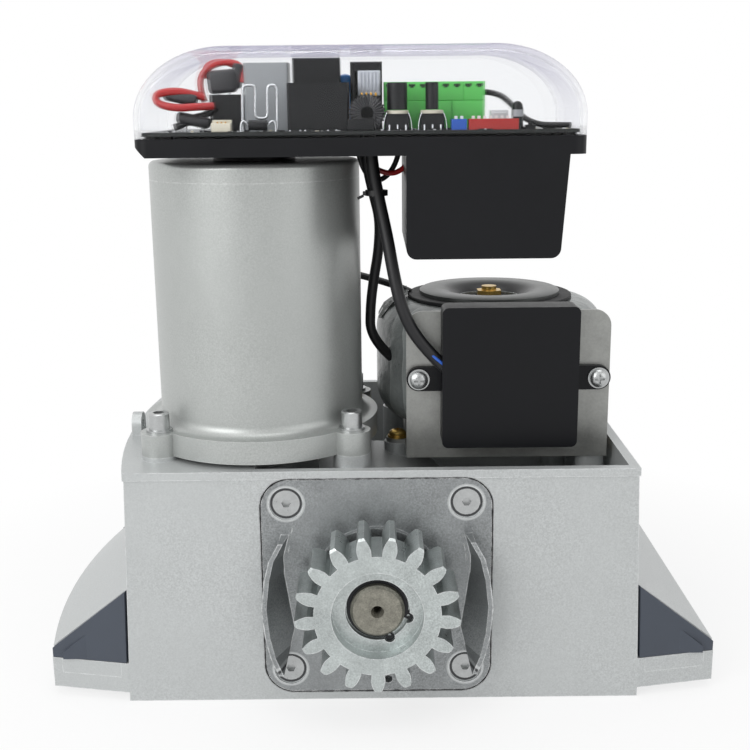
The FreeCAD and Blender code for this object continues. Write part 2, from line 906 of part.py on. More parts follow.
housing = body("housing_casting")
loft(
    housing,
    outline(sketch(housing, "foot"), shell_outline(s.foot_half_width)),
    outline(sketch(housing, "rim", "XY_Plane", s.base_height), shell_outline(s.rim_half_width)),
)
band = sketch(housing, "band", "XY_Plane", s.wing_low)
corner_y = half_depth - s.wing_setback
outline(band, [
    (-s.wing_half_width, -corner_y),
    (-s.foot_half_width, front_y),
    (s.foot_half_width, front_y),
    (s.wing_half_width, -corner_y),
    (s.wing_half_width, corner_y),
    (s.foot_half_width, half_depth),
    (-s.foot_half_width, half_depth),
    (-s.wing_half_width, corner_y, bulge_radius(corner_y * 2, s.wing_bulge)),
])
pad(housing, band, s.cover_low - s.wing_low)
cover_room = s.cover_thickness + s.cover_gap
for side, tag, wall_bulge in ((1, "right", s.side_bulge), (-1, "left", s.side_bulge)):
    loft(
        housing,
        wing_section(housing, "wing_low_" + tag, s.cover_low, s.wing_half_width, side, cover_room,
                     s.wing_bulge),
        wing_section(housing, "wing_band_" + tag, s.band_top, s.wing_half_width, side, cover_room,
                     s.wing_bulge),
        wing_section(housing, "wing_top_" + tag, s.slope_top, wall_reach(s.slope_top), side, cover_room,
                     wall_bulge),
    )
lip = sketch(housing, "rim_lip", "XY_Plane", s.base_height - s.rim_lip_height)
outline(lip, shell_outline(wall_reach(s.base_height - s.rim_lip_height) + s.rim_lip_step, -s.rim_lip_step))
pad(housing, lip, s.rim_lip_height)

tub = sketch(housing, "tub", "XY_Plane", s.base_height)
outline(tub, shell_outline(s.rim_half_width - s.base_wall, s.base_wall))
pocket(housing, tub, s.base_height - s.base_floor)

deck = sketch(housing, "deck", "XY_Plane", s.base_height - s.deck_thickness)
inner_half = s.rim_half_width - s.base_wall / 2
inner_deep = half_depth - s.base_wall / 2
outline(deck, [
    (-inner_half, -inner_deep),
    (s.deck_edge, -inner_deep),
    (s.deck_edge, s.deck_shelf_front),
    (s.deck_shelf_edge, s.deck_shelf_front),
    (s.deck_shelf_edge, s.deck_shelf_back),
    (s.deck_edge, s.deck_shelf_back),
    (s.deck_edge, inner_deep),
    (-inner_half, inner_deep, bulge_radius(inner_deep * 2, s.side_bulge)),
])
pad(housing, deck, s.deck_thickness)

block = sketch(housing, "front_block", "XZ_Plane", half_depth - s.base_wall / 2)
outline(block, [
    (s.pinion_across - s.front_block_half_width, s.base_floor / 2),
    (s.pinion_across + s.front_block_half_width, s.base_floor / 2),
    (s.pinion_across + s.front_block_half_width, s.base_height - s.rim_lip_height),
    (s.pinion_across - s.front_block_half_width, s.base_height - s.rim_lip_height),
])
pad(housing, block, s.front_block_depth, backwards=True)
chamber = sketch(housing, "chamber_shell", "XZ_Plane", half_depth - s.base_wall)
disc(chamber, s.pinion_across, s.pinion_axis_height, s.chamber_radius + s.chamber_wall)
pad(housing, chamber, s.chamber_back + s.chamber_wall + half_depth - s.base_wall, backwards=True)
back_boss = sketch(housing, "back_boss", "XZ_Plane", -s.chamber_back)
disc(back_boss, s.pinion_across, s.pinion_axis_height, s.back_boss_radius)
pad(housing, back_boss, s.back_boss_end - s.chamber_back, backwards=True)

tower = sketch(housing, "worm_tower", "XY_Plane", s.base_floor / 2)
disc(tower, motor_across, s.motor_back, s.tower_radius)
pad(housing, tower, motor_flange_low - s.base_floor / 2)
motor_bosses = sketch(housing, "motor_bosses", "XY_Plane", s.base_height - s.motor_boss_depth)
for across, deep in motor_bolt_places:
    disc(motor_bosses, across, deep, s.ear_radius)
pad(housing, motor_bosses, motor_flange_low - s.base_height + s.motor_boss_depth)
right_back_boss = sketch(housing, "right_back_boss", "XY_Plane",
                         s.pinion_axis_height + s.back_boss_radius / 2)
disc(right_back_boss, motor_bolt_places[3][0], motor_bolt_places[3][1], s.ear_radius)
pad(housing, right_back_boss, s.base_height - s.pinion_axis_height - s.back_boss_radius / 2)
posts = sketch(housing, "bracket_posts", "XY_Plane", s.base_floor / 2)
for across, deep in tab_screw_places:
    disc(posts, across, deep, s.post_radius)
pad(housing, posts, bracket_low - s.base_floor / 2)
guide = sketch(housing, "rod_guide", "XZ_Plane", -(half_depth - s.rod_guide_depth))
disc(guide, s.pinion_across, s.pinion_axis_height, s.rod_guide_radius)
pad(housing, guide, s.rod_guide_length, backwards=True)

lever_low = s.pinion_axis_height - s.lever_height / 2
lever_high = s.pinion_axis_height + s.lever_height / 2
for tag, lug_low in (("low", lever_low - s.lever_gap - s.lever_lug_thickness),
                     ("high", lever_high + s.lever_gap)):
    hinge_lug = sketch(housing, "hinge_lug_" + tag, "XY_Plane", lug_low)
    left = s.pinion_across - s.lever_lug_half_width
    right = s.pinion_across + s.lever_lug_half_width
    outline(hinge_lug, [
        (left, half_depth - s.base_wall / 2),
        (right, half_depth - s.base_wall / 2),
        (right, hinge_y, s.lever_lug_half_width),
        (s.pinion_across, hinge_y + s.lever_lug_half_width, s.lever_lug_half_width),
        (left, hinge_y),
    ])
    pad(housing, hinge_lug, s.lever_lug_thickness)

lug = sketch(housing, "cover_lug", "YZ_Plane", s.lug_across - s.lug_thickness / 2)
lug_half = s.lug_width / 2
lug_top = s.base_height + s.lug_height
outline(lug, [
    (s.lug_back - lug_half, s.base_height - s.rim_lip_height),
    (s.lug_back + lug_half, s.base_height - s.rim_lip_height),
    (s.lug_back + lug_half, lug_top - lug_half, lug_half),
    (s.lug_back, lug_top, lug_half),
    (s.lug_back - lug_half, lug_top - lug_half),
])
pad(housing, lug, s.lug_thickness)

pads = sketch(housing, "bolt_pads")
for across in (-1, 1):
    for deep in (-1, 1):
        disc(pads, across * s.bolt_spacing_across / 2, deep * s.bolt_spacing_deep / 2, s.bolt_pad_radius)
pad(housing, pads, s.wing_low + s.flange_thickness / 2)

# What is cut out of the casting

tunnels = sketch(housing, "wing_tunnels", "XZ_Plane", half_depth)
slope = (s.slope_top - s.band_top) / (s.wing_half_width - wall_reach(s.slope_top))
tunnel_outer = s.wing_half_width - s.tunnel_wall
tunnel_low = s.wing_low + s.flange_thickness
tunnel_edge = s.band_top + slope * s.tunnel_wall - s.tunnel_wall
tunnel_top = tunnel_edge + slope * (tunnel_outer - s.tunnel_inner)
outline(tunnels, [
    (s.tunnel_inner, tunnel_low), (tunnel_outer, tunnel_low),
    (tunnel_outer, tunnel_edge), (s.tunnel_inner, tunnel_top),
])
outline(tunnels, [
    (-s.tunnel_inner, tunnel_top), (-tunnel_outer, tunnel_edge),
    (-tunnel_outer, tunnel_low), (-s.tunnel_inner, tunnel_low),
])
pocket(housing, tunnels, s.base_depth)

slots = sketch(housing, "bolt_slots")
for across in (-1, 1):
    for deep in (-1, 1):
        middle_x = across * s.bolt_spacing_across / 2
        middle_y = deep * s.bolt_spacing_deep / 2
        half_slot = (s.bolt_slot_length - s.bolt_slot_width) / 2
        arc = s.bolt_slot_width / 2
        outline(slots, [
            (middle_x - half_slot, middle_y - arc),
            (middle_x + half_slot, middle_y - arc, arc),
            (middle_x + half_slot + arc, middle_y, arc),
            (middle_x + half_slot, middle_y + arc),
            (middle_x - half_slot, middle_y + arc, arc),
            (middle_x - half_slot - arc, middle_y, arc),
        ])
pocket(housing, slots, tunnel_low, backwards=True)

plate_seat = sketch(housing, "plate_seat", "XZ_Plane", half_depth + s.rim_lip_step)
seat_half = s.plate_side / 2 + s.plate_gap
outline(plate_seat, rounded(
    s.pinion_across - seat_half, s.pinion_axis_height - seat_half,
    s.pinion_across + seat_half, s.pinion_axis_height + seat_half, s.plate_corner + s.plate_gap))
pocket(housing, plate_seat, s.plate_thickness + s.rim_lip_step)
chamber_bore = sketch(housing, "chamber_bore", "XZ_Plane", half_depth)
disc(chamber_bore, s.pinion_across, s.pinion_axis_height, s.chamber_radius)
pocket(housing, chamber_bore, s.chamber_back + half_depth)
bearing_seat = sketch(housing, "bearing_seat", "XZ_Plane", -s.chamber_back)
disc(bearing_seat, s.pinion_across, s.pinion_axis_height, s.bearing_radius)
pocket(housing, bearing_seat, s.bearing_width)
rod_way = sketch(housing, "rod_way", "XZ_Plane", -s.chamber_back)
disc(rod_way, s.pinion_across, s.pinion_axis_height, s.rod_radius + s.running_clearance)
pocket(housing, rod_way, half_depth + s.rim_lip_step - s.chamber_back)
worm_bore = sketch(housing, "worm_bore", "XY_Plane", motor_flange_low)
disc(worm_bore, motor_across, s.motor_back, s.tower_bore_radius)
pocket(housing, worm_bore, motor_flange_low - s.low_bearing_height - s.low_bearing_width)
low_seat = sketch(housing, "low_seat", "XY_Plane", motor_flange_low)
disc(low_seat, motor_across, s.motor_back, s.low_bearing_radius)
pocket(housing, low_seat, motor_flange_low - s.low_bearing_height)
shaft_relief = sketch(housing, "shaft_relief", "XY_Plane", motor_flange_low)
disc(shaft_relief, motor_across, s.motor_back, s.low_bearing_inner + s.washer_thickness)
pocket(housing, shaft_relief, motor_flange_low - s.low_bearing_height + s.bearing_width / 5)
motor_holes = sketch(housing, "motor_holes", "XY_Plane", motor_flange_low)
for across, deep in motor_bolt_places:
    disc(motor_holes, across, deep, s.bolt_radius + s.screw_clearance)
pocket(housing, motor_holes, s.bolt_length - motor_flange_high + motor_flange_low + s.screw_clearance)
post_holes = sketch(housing, "post_holes", "XY_Plane", bracket_low)
for across, deep in tab_screw_places:
    disc(post_holes, across, deep, s.small_screw_radius + s.screw_clearance)
pocket(housing, post_holes, s.small_screw_length)
plate_holes = sketch(housing, "plate_holes", "XZ_Plane", -plate_back_y)
for across in (-1, 1):
    for deep in (-1, 1):
        disc(plate_holes, s.pinion_across + across * s.plate_screw_offset,
             s.pinion_axis_height + deep * s.plate_screw_offset, s.bolt_radius + s.screw_clearance)
pocket(housing, plate_holes, s.small_screw_length)
conduit = sketch(housing, "conduit")
disc(conduit, s.conduit_across, s.conduit_back, s.conduit_radius)
pocket(housing, conduit, s.base_floor, backwards=True)
lug_hole = sketch(housing, "lug_hole", "YZ_Plane", s.lug_across + s.lug_thickness)
disc(lug_hole, s.lug_back, lug_top - lug_half, s.lug_hole_radius)
pocket(housing, lug_hole, s.lug_thickness * 2)
pin_ways = sketch(housing, "pin_ways", "XY_Plane", lever_high + s.lever_gap + s.lever_lug_thickness)
disc(pin_ways, s.pinion_across, hinge_y, s.lever_pin_radius + s.running_clearance)
pocket(housing, pin_ways, s.lever_height + 2 * (s.lever_gap + s.lever_lug_thickness))
base_housing = node(housing, "base_housing")


# Bolt covers: plastic plugs that close the ends of the wings

cover_turn = FreeCAD.Rotation(V(0, 0, 1), math.degrees(
    math.atan2(float(s.wing_setback), float(s.wing_half_width - s.foot_half_width))))
cover_face = body("cover_face", (s.foot_half_width, front_y, 0), cover_turn)
face_width = root(s.wing_setback * s.wing_setback
                  + (s.wing_half_width - s.foot_half_width) * (s.wing_half_width - s.foot_half_width))
corner_slope = s.side_bulge * 4 / s.base_depth
face_inset = s.cover_gap * 2 + s.cover_thickness * corner_slope
outline(sketch(cover_face, "cover_triangle", "XZ_Plane", -s.cover_thickness), [
    (wall_reach(s.cover_low) - s.foot_half_width + face_inset, s.cover_low + s.cover_gap),
    (face_width - s.cover_gap, s.cover_low + s.cover_gap),
    (face_width - s.cover_gap, s.band_top),
    (wall_reach(s.slope_top) - s.foot_half_width + face_inset, s.slope_top - s.cover_gap * 2),
])
pad(cover_face, cover_face.Group[-1], s.cover_thickness)
cover_plug = body("cover_plug", (0, front_y, 0))
outline(sketch(cover_plug, "cover_plug_outline", "XZ_Plane", -s.cover_plug_reach), [
    (s.tunnel_inner + s.cover_plug_inset, s.cover_low + s.cover_gap * 2),
    (tunnel_outer - s.cover_plug_inset, s.cover_low + s.cover_gap * 2),
    (tunnel_outer - s.cover_plug_inset, tunnel_edge - s.cover_gap),
    (s.tunnel_inner + s.cover_plug_inset, tunnel_top - s.cover_plug_top_inset),
])
pad(cover_plug, cover_plug.Group[-1], s.cover_plug_depth)
cover_right = fuse("cover_right_front", cover_face, cover_plug)


def mirrored(name, source, normal):
    """A piece's mirror image through the origin."""
    thing = doc.addObject("Part::Mirroring", name)
    thing.Source = source
    thing.Normal = normal
    return thing


cover_left = mirrored("cover_left_front", cover_right, V(1, 0, 0))
bolt_covers = node(group(
    "bolt_cover_set", cover_right, cover_left,
    mirrored("cover_right_back", cover_right, V(0, 1, 0)),
    mirrored("cover_left_back", cover_left, V(0, 1, 0))), "bolt_covers")


# Output flange: the machined plate that carries the shaft's front bearing, with two cast guards

flange = body("flange_casting", (s.pinion_across, plate_back_y, s.pinion_axis_height), TO_FRONT)
plate_half = s.plate_side / 2
plate_outline = sketch(flange, "plate_outline")
outline(plate_outline, rounded(-plate_half, -plate_half, plate_half, plate_half, s.plate_corner))
pad(flange, plate_outline, s.plate_thickness)
spigot = sketch(flange, "spigot")
disc(spigot, 0, 0, s.chamber_radius - s.spigot_clearance)
pad(flange, spigot, s.spigot_depth, backwards=True)
boss_back = sketch(flange, "boss_back")
disc(boss_back, 0, 0, s.plate_boss_radius)
pad(flange, boss_back, s.plate_boss_back, backwards=True)
boss_front = sketch(flange, "boss_front", "XY_Plane", s.plate_thickness)
disc(boss_front, 0, 0, s.plate_boss_radius)
pad(flange, boss_front, s.plate_boss_front)


def guard_section(name, side, lift, outer, thickness, inset):
    """A level cut through one guard: two arcs about the pinion's axis, nearly."""
    drawing = sketch(flange, name, "XY_Plane", lift)
    top = s.wing_guard_top_angle - inset
    low = s.wing_guard_low_angle - inset / 4
    chord = 2 * outer * sine((low - top) / 2)
    inner = outer - thickness
    tip = outer - s.wing_guard_rim
    inner_chord = root((tip * cosine(top) - inner * cosine(low)) * (tip * cosine(top) - inner * cosine(low))
                       + (tip * sine(top) - inner * sine(low)) * (tip * sine(top) - inner * sine(low)))
    points = [
        (side * outer * cosine(top), outer * sine(top)),
        (side * outer * cosine(low), outer * sine(low)),
        (side * tip * cosine(low), tip * sine(low)),
        (side * tip * cosine(top), tip * sine(top)),
    ]
    back = bulge_radius(chord, thickness_bulge(chord, outer, thickness))
    if side > 0:
        points[0] = points[0] + (outer,)
        points[2] = points[2] + (-back,)
        return outline(drawing, points)
    points = [points[0], points[3], points[2], points[1]]
    points[1] = points[1] + (-back,)
    points[3] = points[3] + (outer,)
    return outline(drawing, points)


def thickness_bulge(chord, outer, thickness):
    """How far the guard's inner face bows, so that it is thickest at its middle."""
    bow = outer - root(outer * outer - chord * chord / 4)
    return bow - thickness + s.wing_guard_rim


for side, tag in ((1, "left"), (-1, "right")):
    loft(
        flange,
        guard_section("guard_root_" + tag, side, s.plate_thickness, s.wing_guard_radius,
                      s.wing_guard_root, as_size(0)),
        guard_section("guard_rim_" + tag, side, s.plate_thickness + s.wing_guard_height,
                      s.wing_guard_radius - s.wing_guard_lean, s.wing_guard_rim + s.wing_guard_lean,
                      s.wing_guard_inset_angle),
    )

seal_bore = sketch(flange, "seal_bore", "XY_Plane", s.plate_thickness + s.plate_boss_front)
disc(seal_bore, 0, 0, s.seal_radius)
pocket(flange, seal_bore, s.seal_width)
lip_bore = sketch(flange, "lip_bore", "XY_Plane", s.plate_thickness + s.plate_boss_front)
disc(lip_bore, 0, 0, s.seal_radius - s.bearing_width / 5)
pocket(flange, lip_bore, s.seal_width + s.seal_lip)
bearing_bore = sketch(flange, "bearing_bore", "XY_Plane",
                      s.plate_thickness + s.plate_boss_front - s.seal_width - s.seal_lip)
disc(bearing_bore, 0, 0, s.bearing_radius)
pocket(flange, bearing_bore, s.plate_thickness + s.plate_boss_front + s.plate_boss_back)
plate_screw_ways = sketch(flange, "plate_screw_ways", "XY_Plane", s.plate_thickness)
for across in (-1, 1):
    for deep in (-1, 1):
        disc(plate_screw_ways, across * s.plate_screw_offset, deep * s.plate_screw_offset,
             s.bolt_radius + s.screw_clearance)
pocket(flange, plate_screw_ways, s.plate_thickness)
rings = sketch(flange, "sink_rings", "XY_Plane", s.plate_thickness)
for across in (-1, 1):
    for deep in (-1, 1):
        disc(rings, across * s.plate_screw_offset, deep * s.plate_screw_offset, s.sink_radius)
pocket(flange, rings, s.sink_depth)
drain = sketch(flange, "drain_hole", "XY_Plane", s.plate_thickness)
disc(drain, s.drain_across, -s.drain_low, s.drain_radius)
pocket(flange, drain, s.plate_thickness / 2)

sink_depth = s.washer_radius - s.bolt_radius
sink_face_y = front_y + s.sink_depth
plate_screw_places = [
    (s.pinion_across + across * s.plate_screw_offset, s.pinion_axis_height + deep * s.plate_screw_offset)
    for across in (-1, 1) for deep in (-1, 1)
]
sinks = [
    cone("sink_" + str(number), s.bolt_radius, s.washer_radius + s.screw_clearance,
         sink_depth + s.screw_clearance,
         (across, sink_face_y + sink_depth, high), TO_FRONT)
    for number, (across, high) in enumerate(plate_screw_places, start=1)
]
output_flange = node(cut("output_flange_plate", flange, *sinks), "output_flange")

countersunk = turned("countersunk_screw", [
    (0, 0),
    (s.bolt_radius, 0),
    (s.bolt_radius, s.plate_thickness + s.bolt_radius),
    (s.washer_radius, s.plate_thickness + s.bolt_radius + sink_depth),
    (0, s.plate_thickness + s.bolt_radius + sink_depth),
])
screw_length = s.plate_thickness + s.bolt_radius + sink_depth
socket = sketch(countersunk, "countersunk_socket", "XY_Plane", screw_length)
outline(socket, hexagon(s.socket_flat))
pocket(countersunk, socket, s.socket_depth)
flange_screws = node(copies("flange_screw", countersunk, [
    ((across, sink_face_y + screw_length, high), TO_FRONT) for across, high in plate_screw_places
]), "flange_screws")


# Shaft seal and shaft bearings

oil_seal = node(turned("shaft_seal", [
    (s.shaft_radius + s.running_clearance, 0),
    (s.shaft_radius + s.running_clearance + s.seal_lip, 0),
    (s.seal_radius - s.seal_shell, s.seal_width / 3),
    (s.seal_radius - s.seal_case, 0),
    (s.seal_radius, 0),
    (s.seal_radius, s.seal_width),
    (s.seal_radius - s.seal_lip, s.seal_width),
    (s.shaft_radius + s.seal_heel, s.seal_heel_depth),
    (s.shaft_radius + s.running_clearance, s.seal_heel_depth),
], (s.pinion_across, front_bearing_y - s.seal_lip, s.pinion_axis_height), TO_FRONT), "oil_seal")


def ball_bearing(name, outer, inner, width):
    """A shielded ball bearing as it is handled, with its shields set back."""
    ring = (outer - inner) * s.bearing_ring_share
    shield = width * s.bearing_shield_share
    return turned(name, [
        (inner, 0), (inner + ring, 0), (inner + ring, shield), (outer - ring, shield),
        (outer - ring, 0), (outer, 0), (outer, width), (outer - ring, width),
        (outer - ring, width - shield), (inner + ring, width - shield), (inner + ring, width),
        (inner, width),
    ])


shaft_bearing = ball_bearing("shaft_bearing", s.bearing_radius,
                             s.bearing_inner_radius + s.running_clearance,
                             s.bearing_width)
output_bearings = node(copies("output_bearing", shaft_bearing, [
    ((s.pinion_across, collar_front_y, s.pinion_axis_height), TO_FRONT),
    ((s.pinion_across, shaft_end_y, s.pinion_axis_height), TO_FRONT),
]), "output_bearings")


# Output pinion, shaft, keys and retaining ring

pinion_tip = s.pinion_module * (s.pinion_teeth + 2) / 2
pinion_floor = s.pinion_module * (s.pinion_teeth - 2.5) / 2
gap_turn = 90 - 360 / float(s.pinion_teeth) * (int(float(s.pinion_teeth)) // 4 + 0.5)
pinion_turn = TO_FRONT.multiply(FreeCAD.Rotation(V(0, 0, 1), gap_turn))
pinion_blank = turned("pinion_blank", [
    (s.shaft_radius + s.running_clearance / 5, 0),
    (pinion_tip - s.pinion_chamfer, 0),
    (pinion_tip, s.pinion_chamfer),
    (pinion_tip, s.pinion_width - s.pinion_chamfer),
    (pinion_tip - s.pinion_chamfer, s.pinion_width),
    (s.recess_radius, s.pinion_width),
    (s.recess_radius, s.pinion_width - s.recess_depth),
    (s.clip_pocket_radius, s.pinion_width - s.recess_depth),
    (s.clip_pocket_radius, s.pinion_width - s.recess_depth - s.clip_pocket_depth),
    (s.shaft_radius + s.running_clearance / 5, s.pinion_width - s.recess_depth - s.clip_pocket_depth),
], (s.pinion_across, pinion_back_y, s.pinion_axis_height), pinion_turn)
pinion_gap = sketch(pinion_blank, "pinion_gap", "XY_Plane", s.pinion_width)
tooth_gap(pinion_gap, s.pinion_module, s.pinion_teeth, s.pinion_backlash, float(pinion_tip),
          float(pinion_floor))
patterned(pinion_blank, pocket(pinion_blank, pinion_gap, s.pinion_width), s.pinion_teeth)

clip_floor_y = pinion_front_y + s.recess_depth + s.clip_pocket_depth
key_floor = s.shaft_radius - s.key_depth
key_across = s.pinion_across - s.key_width / 2
keyway_across = key_across - s.screw_clearance / 2
pinion_keyway = box("pinion_keyway", s.key_width + s.screw_clearance, pinion_back_y - clip_floor_y,
                    s.key_height + s.screw_clearance,
                    (keyway_across, clip_floor_y, s.pinion_axis_height + key_floor))
lug_middle = (s.clip_radius + s.shaft_radius) / 2 + s.clip_lug_offset
lug_angles = [s.clip_lug_turn - s.clip_lug_spread, s.clip_lug_turn + s.clip_lug_spread]
lug_rooms = [
    cylinder("lug_room_" + str(number), s.clip_lug_radius + s.cover_gap, s.clip_pocket_depth,
             (s.pinion_across + lug_middle * cosine(angle), clip_floor_y,
              s.pinion_axis_height + lug_middle * sine(angle)), TO_FRONT)
    for number, angle in enumerate(lug_angles, start=1)
]
pinion = node(cut("pinion_gear", pinion_blank, pinion_keyway, *lug_rooms), "pinion")

# Heights along the shaft are counted from its back end towards the gate.
shaft_length = shaft_end_y - shaft_tip_y
back_seat = s.bearing_width
hub_length = hub_back_y - hub_front_y
wheel_seat_end = shaft_end_y - hub_front_y
collar_end = shaft_end_y - collar_front_y
groove = s.clip_thickness + s.screw_clearance
groove_back = shaft_end_y - clip_floor_y
shaft_blank = turned("shaft_blank", [
    (0, s.rod_socket_depth),
    (s.rod_socket_radius, s.rod_socket_depth),
    (s.rod_socket_radius, 0),
    (s.bearing_inner_radius, 0),
    (s.bearing_inner_radius, back_seat),
    (s.wheel_seat_radius, back_seat),
    (s.wheel_seat_radius, wheel_seat_end),
    (s.collar_radius, wheel_seat_end),
    (s.collar_radius, collar_end),
    (s.shaft_radius, collar_end),
    (s.shaft_radius, groove_back),
    (s.shaft_radius - s.clip_groove_depth, groove_back),
    (s.shaft_radius - s.clip_groove_depth, groove_back + groove),
    (s.shaft_radius, groove_back + groove),
    (s.shaft_radius, shaft_length - s.shaft_tip_chamfer),
    (s.shaft_radius - s.shaft_tip_chamfer, shaft_length),
    (s.bolt_radius, shaft_length),
    (s.centre_hole_radius, shaft_length - s.bolt_radius),
    (s.centre_hole_radius, shaft_length - s.centre_hole_depth),
    (0, shaft_length - s.centre_hole_point),
], (s.pinion_across, shaft_end_y, s.pinion_axis_height), TO_FRONT)
key_pinion_front = pinion_back_y - s.pinion_chamfer - s.pinion_key_length
key_wheel_front = s.motor_back - s.key_length / 2
wheel_key_floor = s.wheel_seat_radius - s.key_depth
shaft_ways = [
    box("shaft_way_pinion", s.key_width + s.screw_clearance, s.pinion_key_length + s.screw_clearance,
        s.key_height, (keyway_across, key_pinion_front - s.screw_clearance / 2,
                       s.pinion_axis_height + key_floor - s.screw_clearance / 2)),
    box("shaft_way_wheel", s.key_width + s.screw_clearance, s.key_length + s.screw_clearance,
        s.key_height, (keyway_across, key_wheel_front - s.screw_clearance / 2,
                       s.pinion_axis_height + wheel_key_floor - s.screw_clearance / 2)),
]
output_shaft = node(cut("output_shaft_turned", shaft_blank, *shaft_ways), "output_shaft")
shaft_keys = node(group(
    "shaft_key_pair",
    box("pinion_key", s.key_width, s.pinion_key_length, s.key_height,
        (key_across, key_pinion_front, s.pinion_axis_height + key_floor)),
    box("wheel_key", s.key_width, s.key_length, s.key_height,
        (key_across, key_wheel_front, s.pinion_axis_height + wheel_key_floor))), "shaft_keys")

clip_y = clip_floor_y - s.screw_clearance / 2
clip_ring = cylinder("clip_ring", s.clip_radius, s.clip_thickness,
                     (s.pinion_across, clip_y, s.pinion_axis_height), TO_FRONT)
clip_hole = cylinder("clip_hole", s.shaft_radius - s.clip_seat_depth, s.clip_thickness,
                     (s.pinion_across, clip_y, s.pinion_axis_height), TO_FRONT)
clip_mouth = cylinder("clip_mouth", s.clip_radius * sine(s.clip_lug_spread) - s.clip_mouth_margin,
                      s.clip_thickness,
                      (s.pinion_across + s.clip_radius * cosine(s.clip_lug_turn), clip_y,
                       s.pinion_axis_height + s.clip_radius * sine(s.clip_lug_turn)), TO_FRONT)
clip_lugs = [
    cylinder("clip_lug_" + str(number), s.clip_lug_radius, s.clip_thickness,
             (s.pinion_across + lug_middle * cosine(angle), clip_y,
              s.pinion_axis_height + lug_middle * sine(angle)),
             TO_FRONT)
    for number, angle in enumerate(lug_angles, start=1)
]
clip_eyes = [
    cylinder("clip_eye_" + str(number), s.clip_hole_radius, s.clip_thickness,
             (s.pinion_across + lug_middle * cosine(angle), clip_y,
              s.pinion_axis_height + lug_middle * sine(angle)),
             TO_FRONT)
    for number, angle in enumerate(lug_angles, start=1)
]
shaft_circlip = node(cut("circlip_stamping", fuse("clip_blank", clip_ring, *clip_lugs), clip_hole,
                         clip_mouth,
                         *clip_eyes), "shaft_circlip")


# Worm wheel: a throated bronze rim on a webbed hub

rim_half = s.wheel_width / 2
throat_radius = s.centre_distance - wheel_tip_radius
corner_to_worm = s.centre_distance - s.wheel_corner_radius
throat_half = root(throat_radius * throat_radius - corner_to_worm * corner_to_worm)
hub_start = -rim_half - s.wheel_hub_back
hub_end = rim_half + s.wheel_hub_front
web_half = s.wheel_web / 2
wheel_blank = turned("wheel_blank", [
    (s.wheel_seat_radius + s.running_clearance / 5, hub_start),
    (s.wheel_hub_radius, hub_start),
    (s.wheel_hub_radius, -web_half),
    (s.wheel_rim_inner, -web_half),
    (s.wheel_rim_inner, -rim_half),
    (s.wheel_corner_radius, -rim_half),
    (s.wheel_corner_radius, -throat_half, -throat_radius),
    (s.wheel_corner_radius, throat_half),
    (s.wheel_corner_radius, rim_half),
    (s.wheel_rim_inner, rim_half),
    (s.wheel_rim_inner, web_half),
    (s.wheel_hub_radius, web_half),
    (s.wheel_hub_radius, hub_end),
    (s.wheel_seat_radius + s.running_clearance / 5, hub_end),
], (s.pinion_across, s.motor_back, s.pinion_axis_height), TO_FRONT)
wheel_gap = sketch(wheel_blank, "wheel_gap")
tooth_gap(wheel_gap, s.worm_module, s.wheel_teeth, s.worm_backlash, float(s.wheel_corner_radius),
          float(wheel_root_radius))
gash = pocket(wheel_blank, wheel_gap, s.wheel_gash_width)
gash.Midplane = True
gash.UseCustomVector = True
gash.Direction = V(0, float(worm_lead) / (2 * math.pi * float(worm_pitch_radius)), -1)
gash.AlongSketchNormal = True
patterned(wheel_blank, gash, s.wheel_teeth)
wheel_keyway = box("wheel_keyway", s.key_width + s.screw_clearance, hub_length,
                   s.key_height + s.screw_clearance,
                   (keyway_across, hub_front_y, s.pinion_axis_height + wheel_key_floor))
worm_wheel = node(cut("worm_wheel_bronze", wheel_blank, wheel_keyway), "worm_wheel")


# Rotor: the shaft with its worm, the armature and the commutator

shaft_low = s.low_bearing_height - s.shaft_end_gap
worm_low = s.pinion_axis_height - s.worm_core_length / 2
worm_high = s.pinion_axis_height + s.worm_core_length / 2
mid_bearing_low = motor_flange_low + s.cover_gap
mid_bearing_high = mid_bearing_low + s.mid_bearing_width
armature_low = magnet_low + s.air_gap
armature_high = magnet_low + s.magnet_height - s.air_gap
core_seat = s.mid_bearing_inner + 0.5
commutator_low = armature_high + s.winding_overhang + s.commutator_gap
commutator_high = commutator_low + s.commutator_height
top_bearing_high = motor_top - s.motor_cap_web
top_bearing_low = top_bearing_high - s.top_bearing_width
worm_blank = turned("worm_blank", [
    (0, shaft_low),
    (s.low_bearing_inner - s.running_clearance, shaft_low),
    (s.low_bearing_inner - s.running_clearance, s.low_bearing_height + s.low_bearing_width),
    (s.low_bearing_inner + s.bolt_radius, s.low_bearing_height + s.low_bearing_width),
    (s.low_bearing_inner + s.bolt_radius, worm_low),
    (worm_root_radius, worm_low),
    (worm_root_radius, worm_high),
    (s.mid_bearing_inner + s.bolt_radius, worm_high),
    (s.mid_bearing_inner + s.bolt_radius, mid_bearing_low),
    (s.mid_bearing_inner - s.running_clearance, mid_bearing_low),
    (s.mid_bearing_inner - s.running_clearance, mid_bearing_high),
    (core_seat, mid_bearing_high),
    (core_seat, commutator_high),
    (s.top_bearing_inner + 1, commutator_high),
    (s.top_bearing_inner + 1, top_bearing_low),
    (s.top_bearing_inner - s.running_clearance, top_bearing_low),
    (s.top_bearing_inner - s.running_clearance, top_bearing_high - s.shaft_end_gap),
    (0, top_bearing_high - s.shaft_end_gap),
], (motor_across, s.motor_back, 0))
thread_start = s.pinion_axis_height - worm_lead * s.worm_turns / 2
pressure_tangent = sine(s.pressure_angle) / cosine(s.pressure_angle)
thread_root_half = worm_lead / 4 + pressure_tangent * (worm_pitch_radius - worm_root_radius)
thread_tip_half = worm_lead / 4 - pressure_tangent * s.worm_module
thread = sketch(worm_blank, "worm_thread", "XZ_Plane")
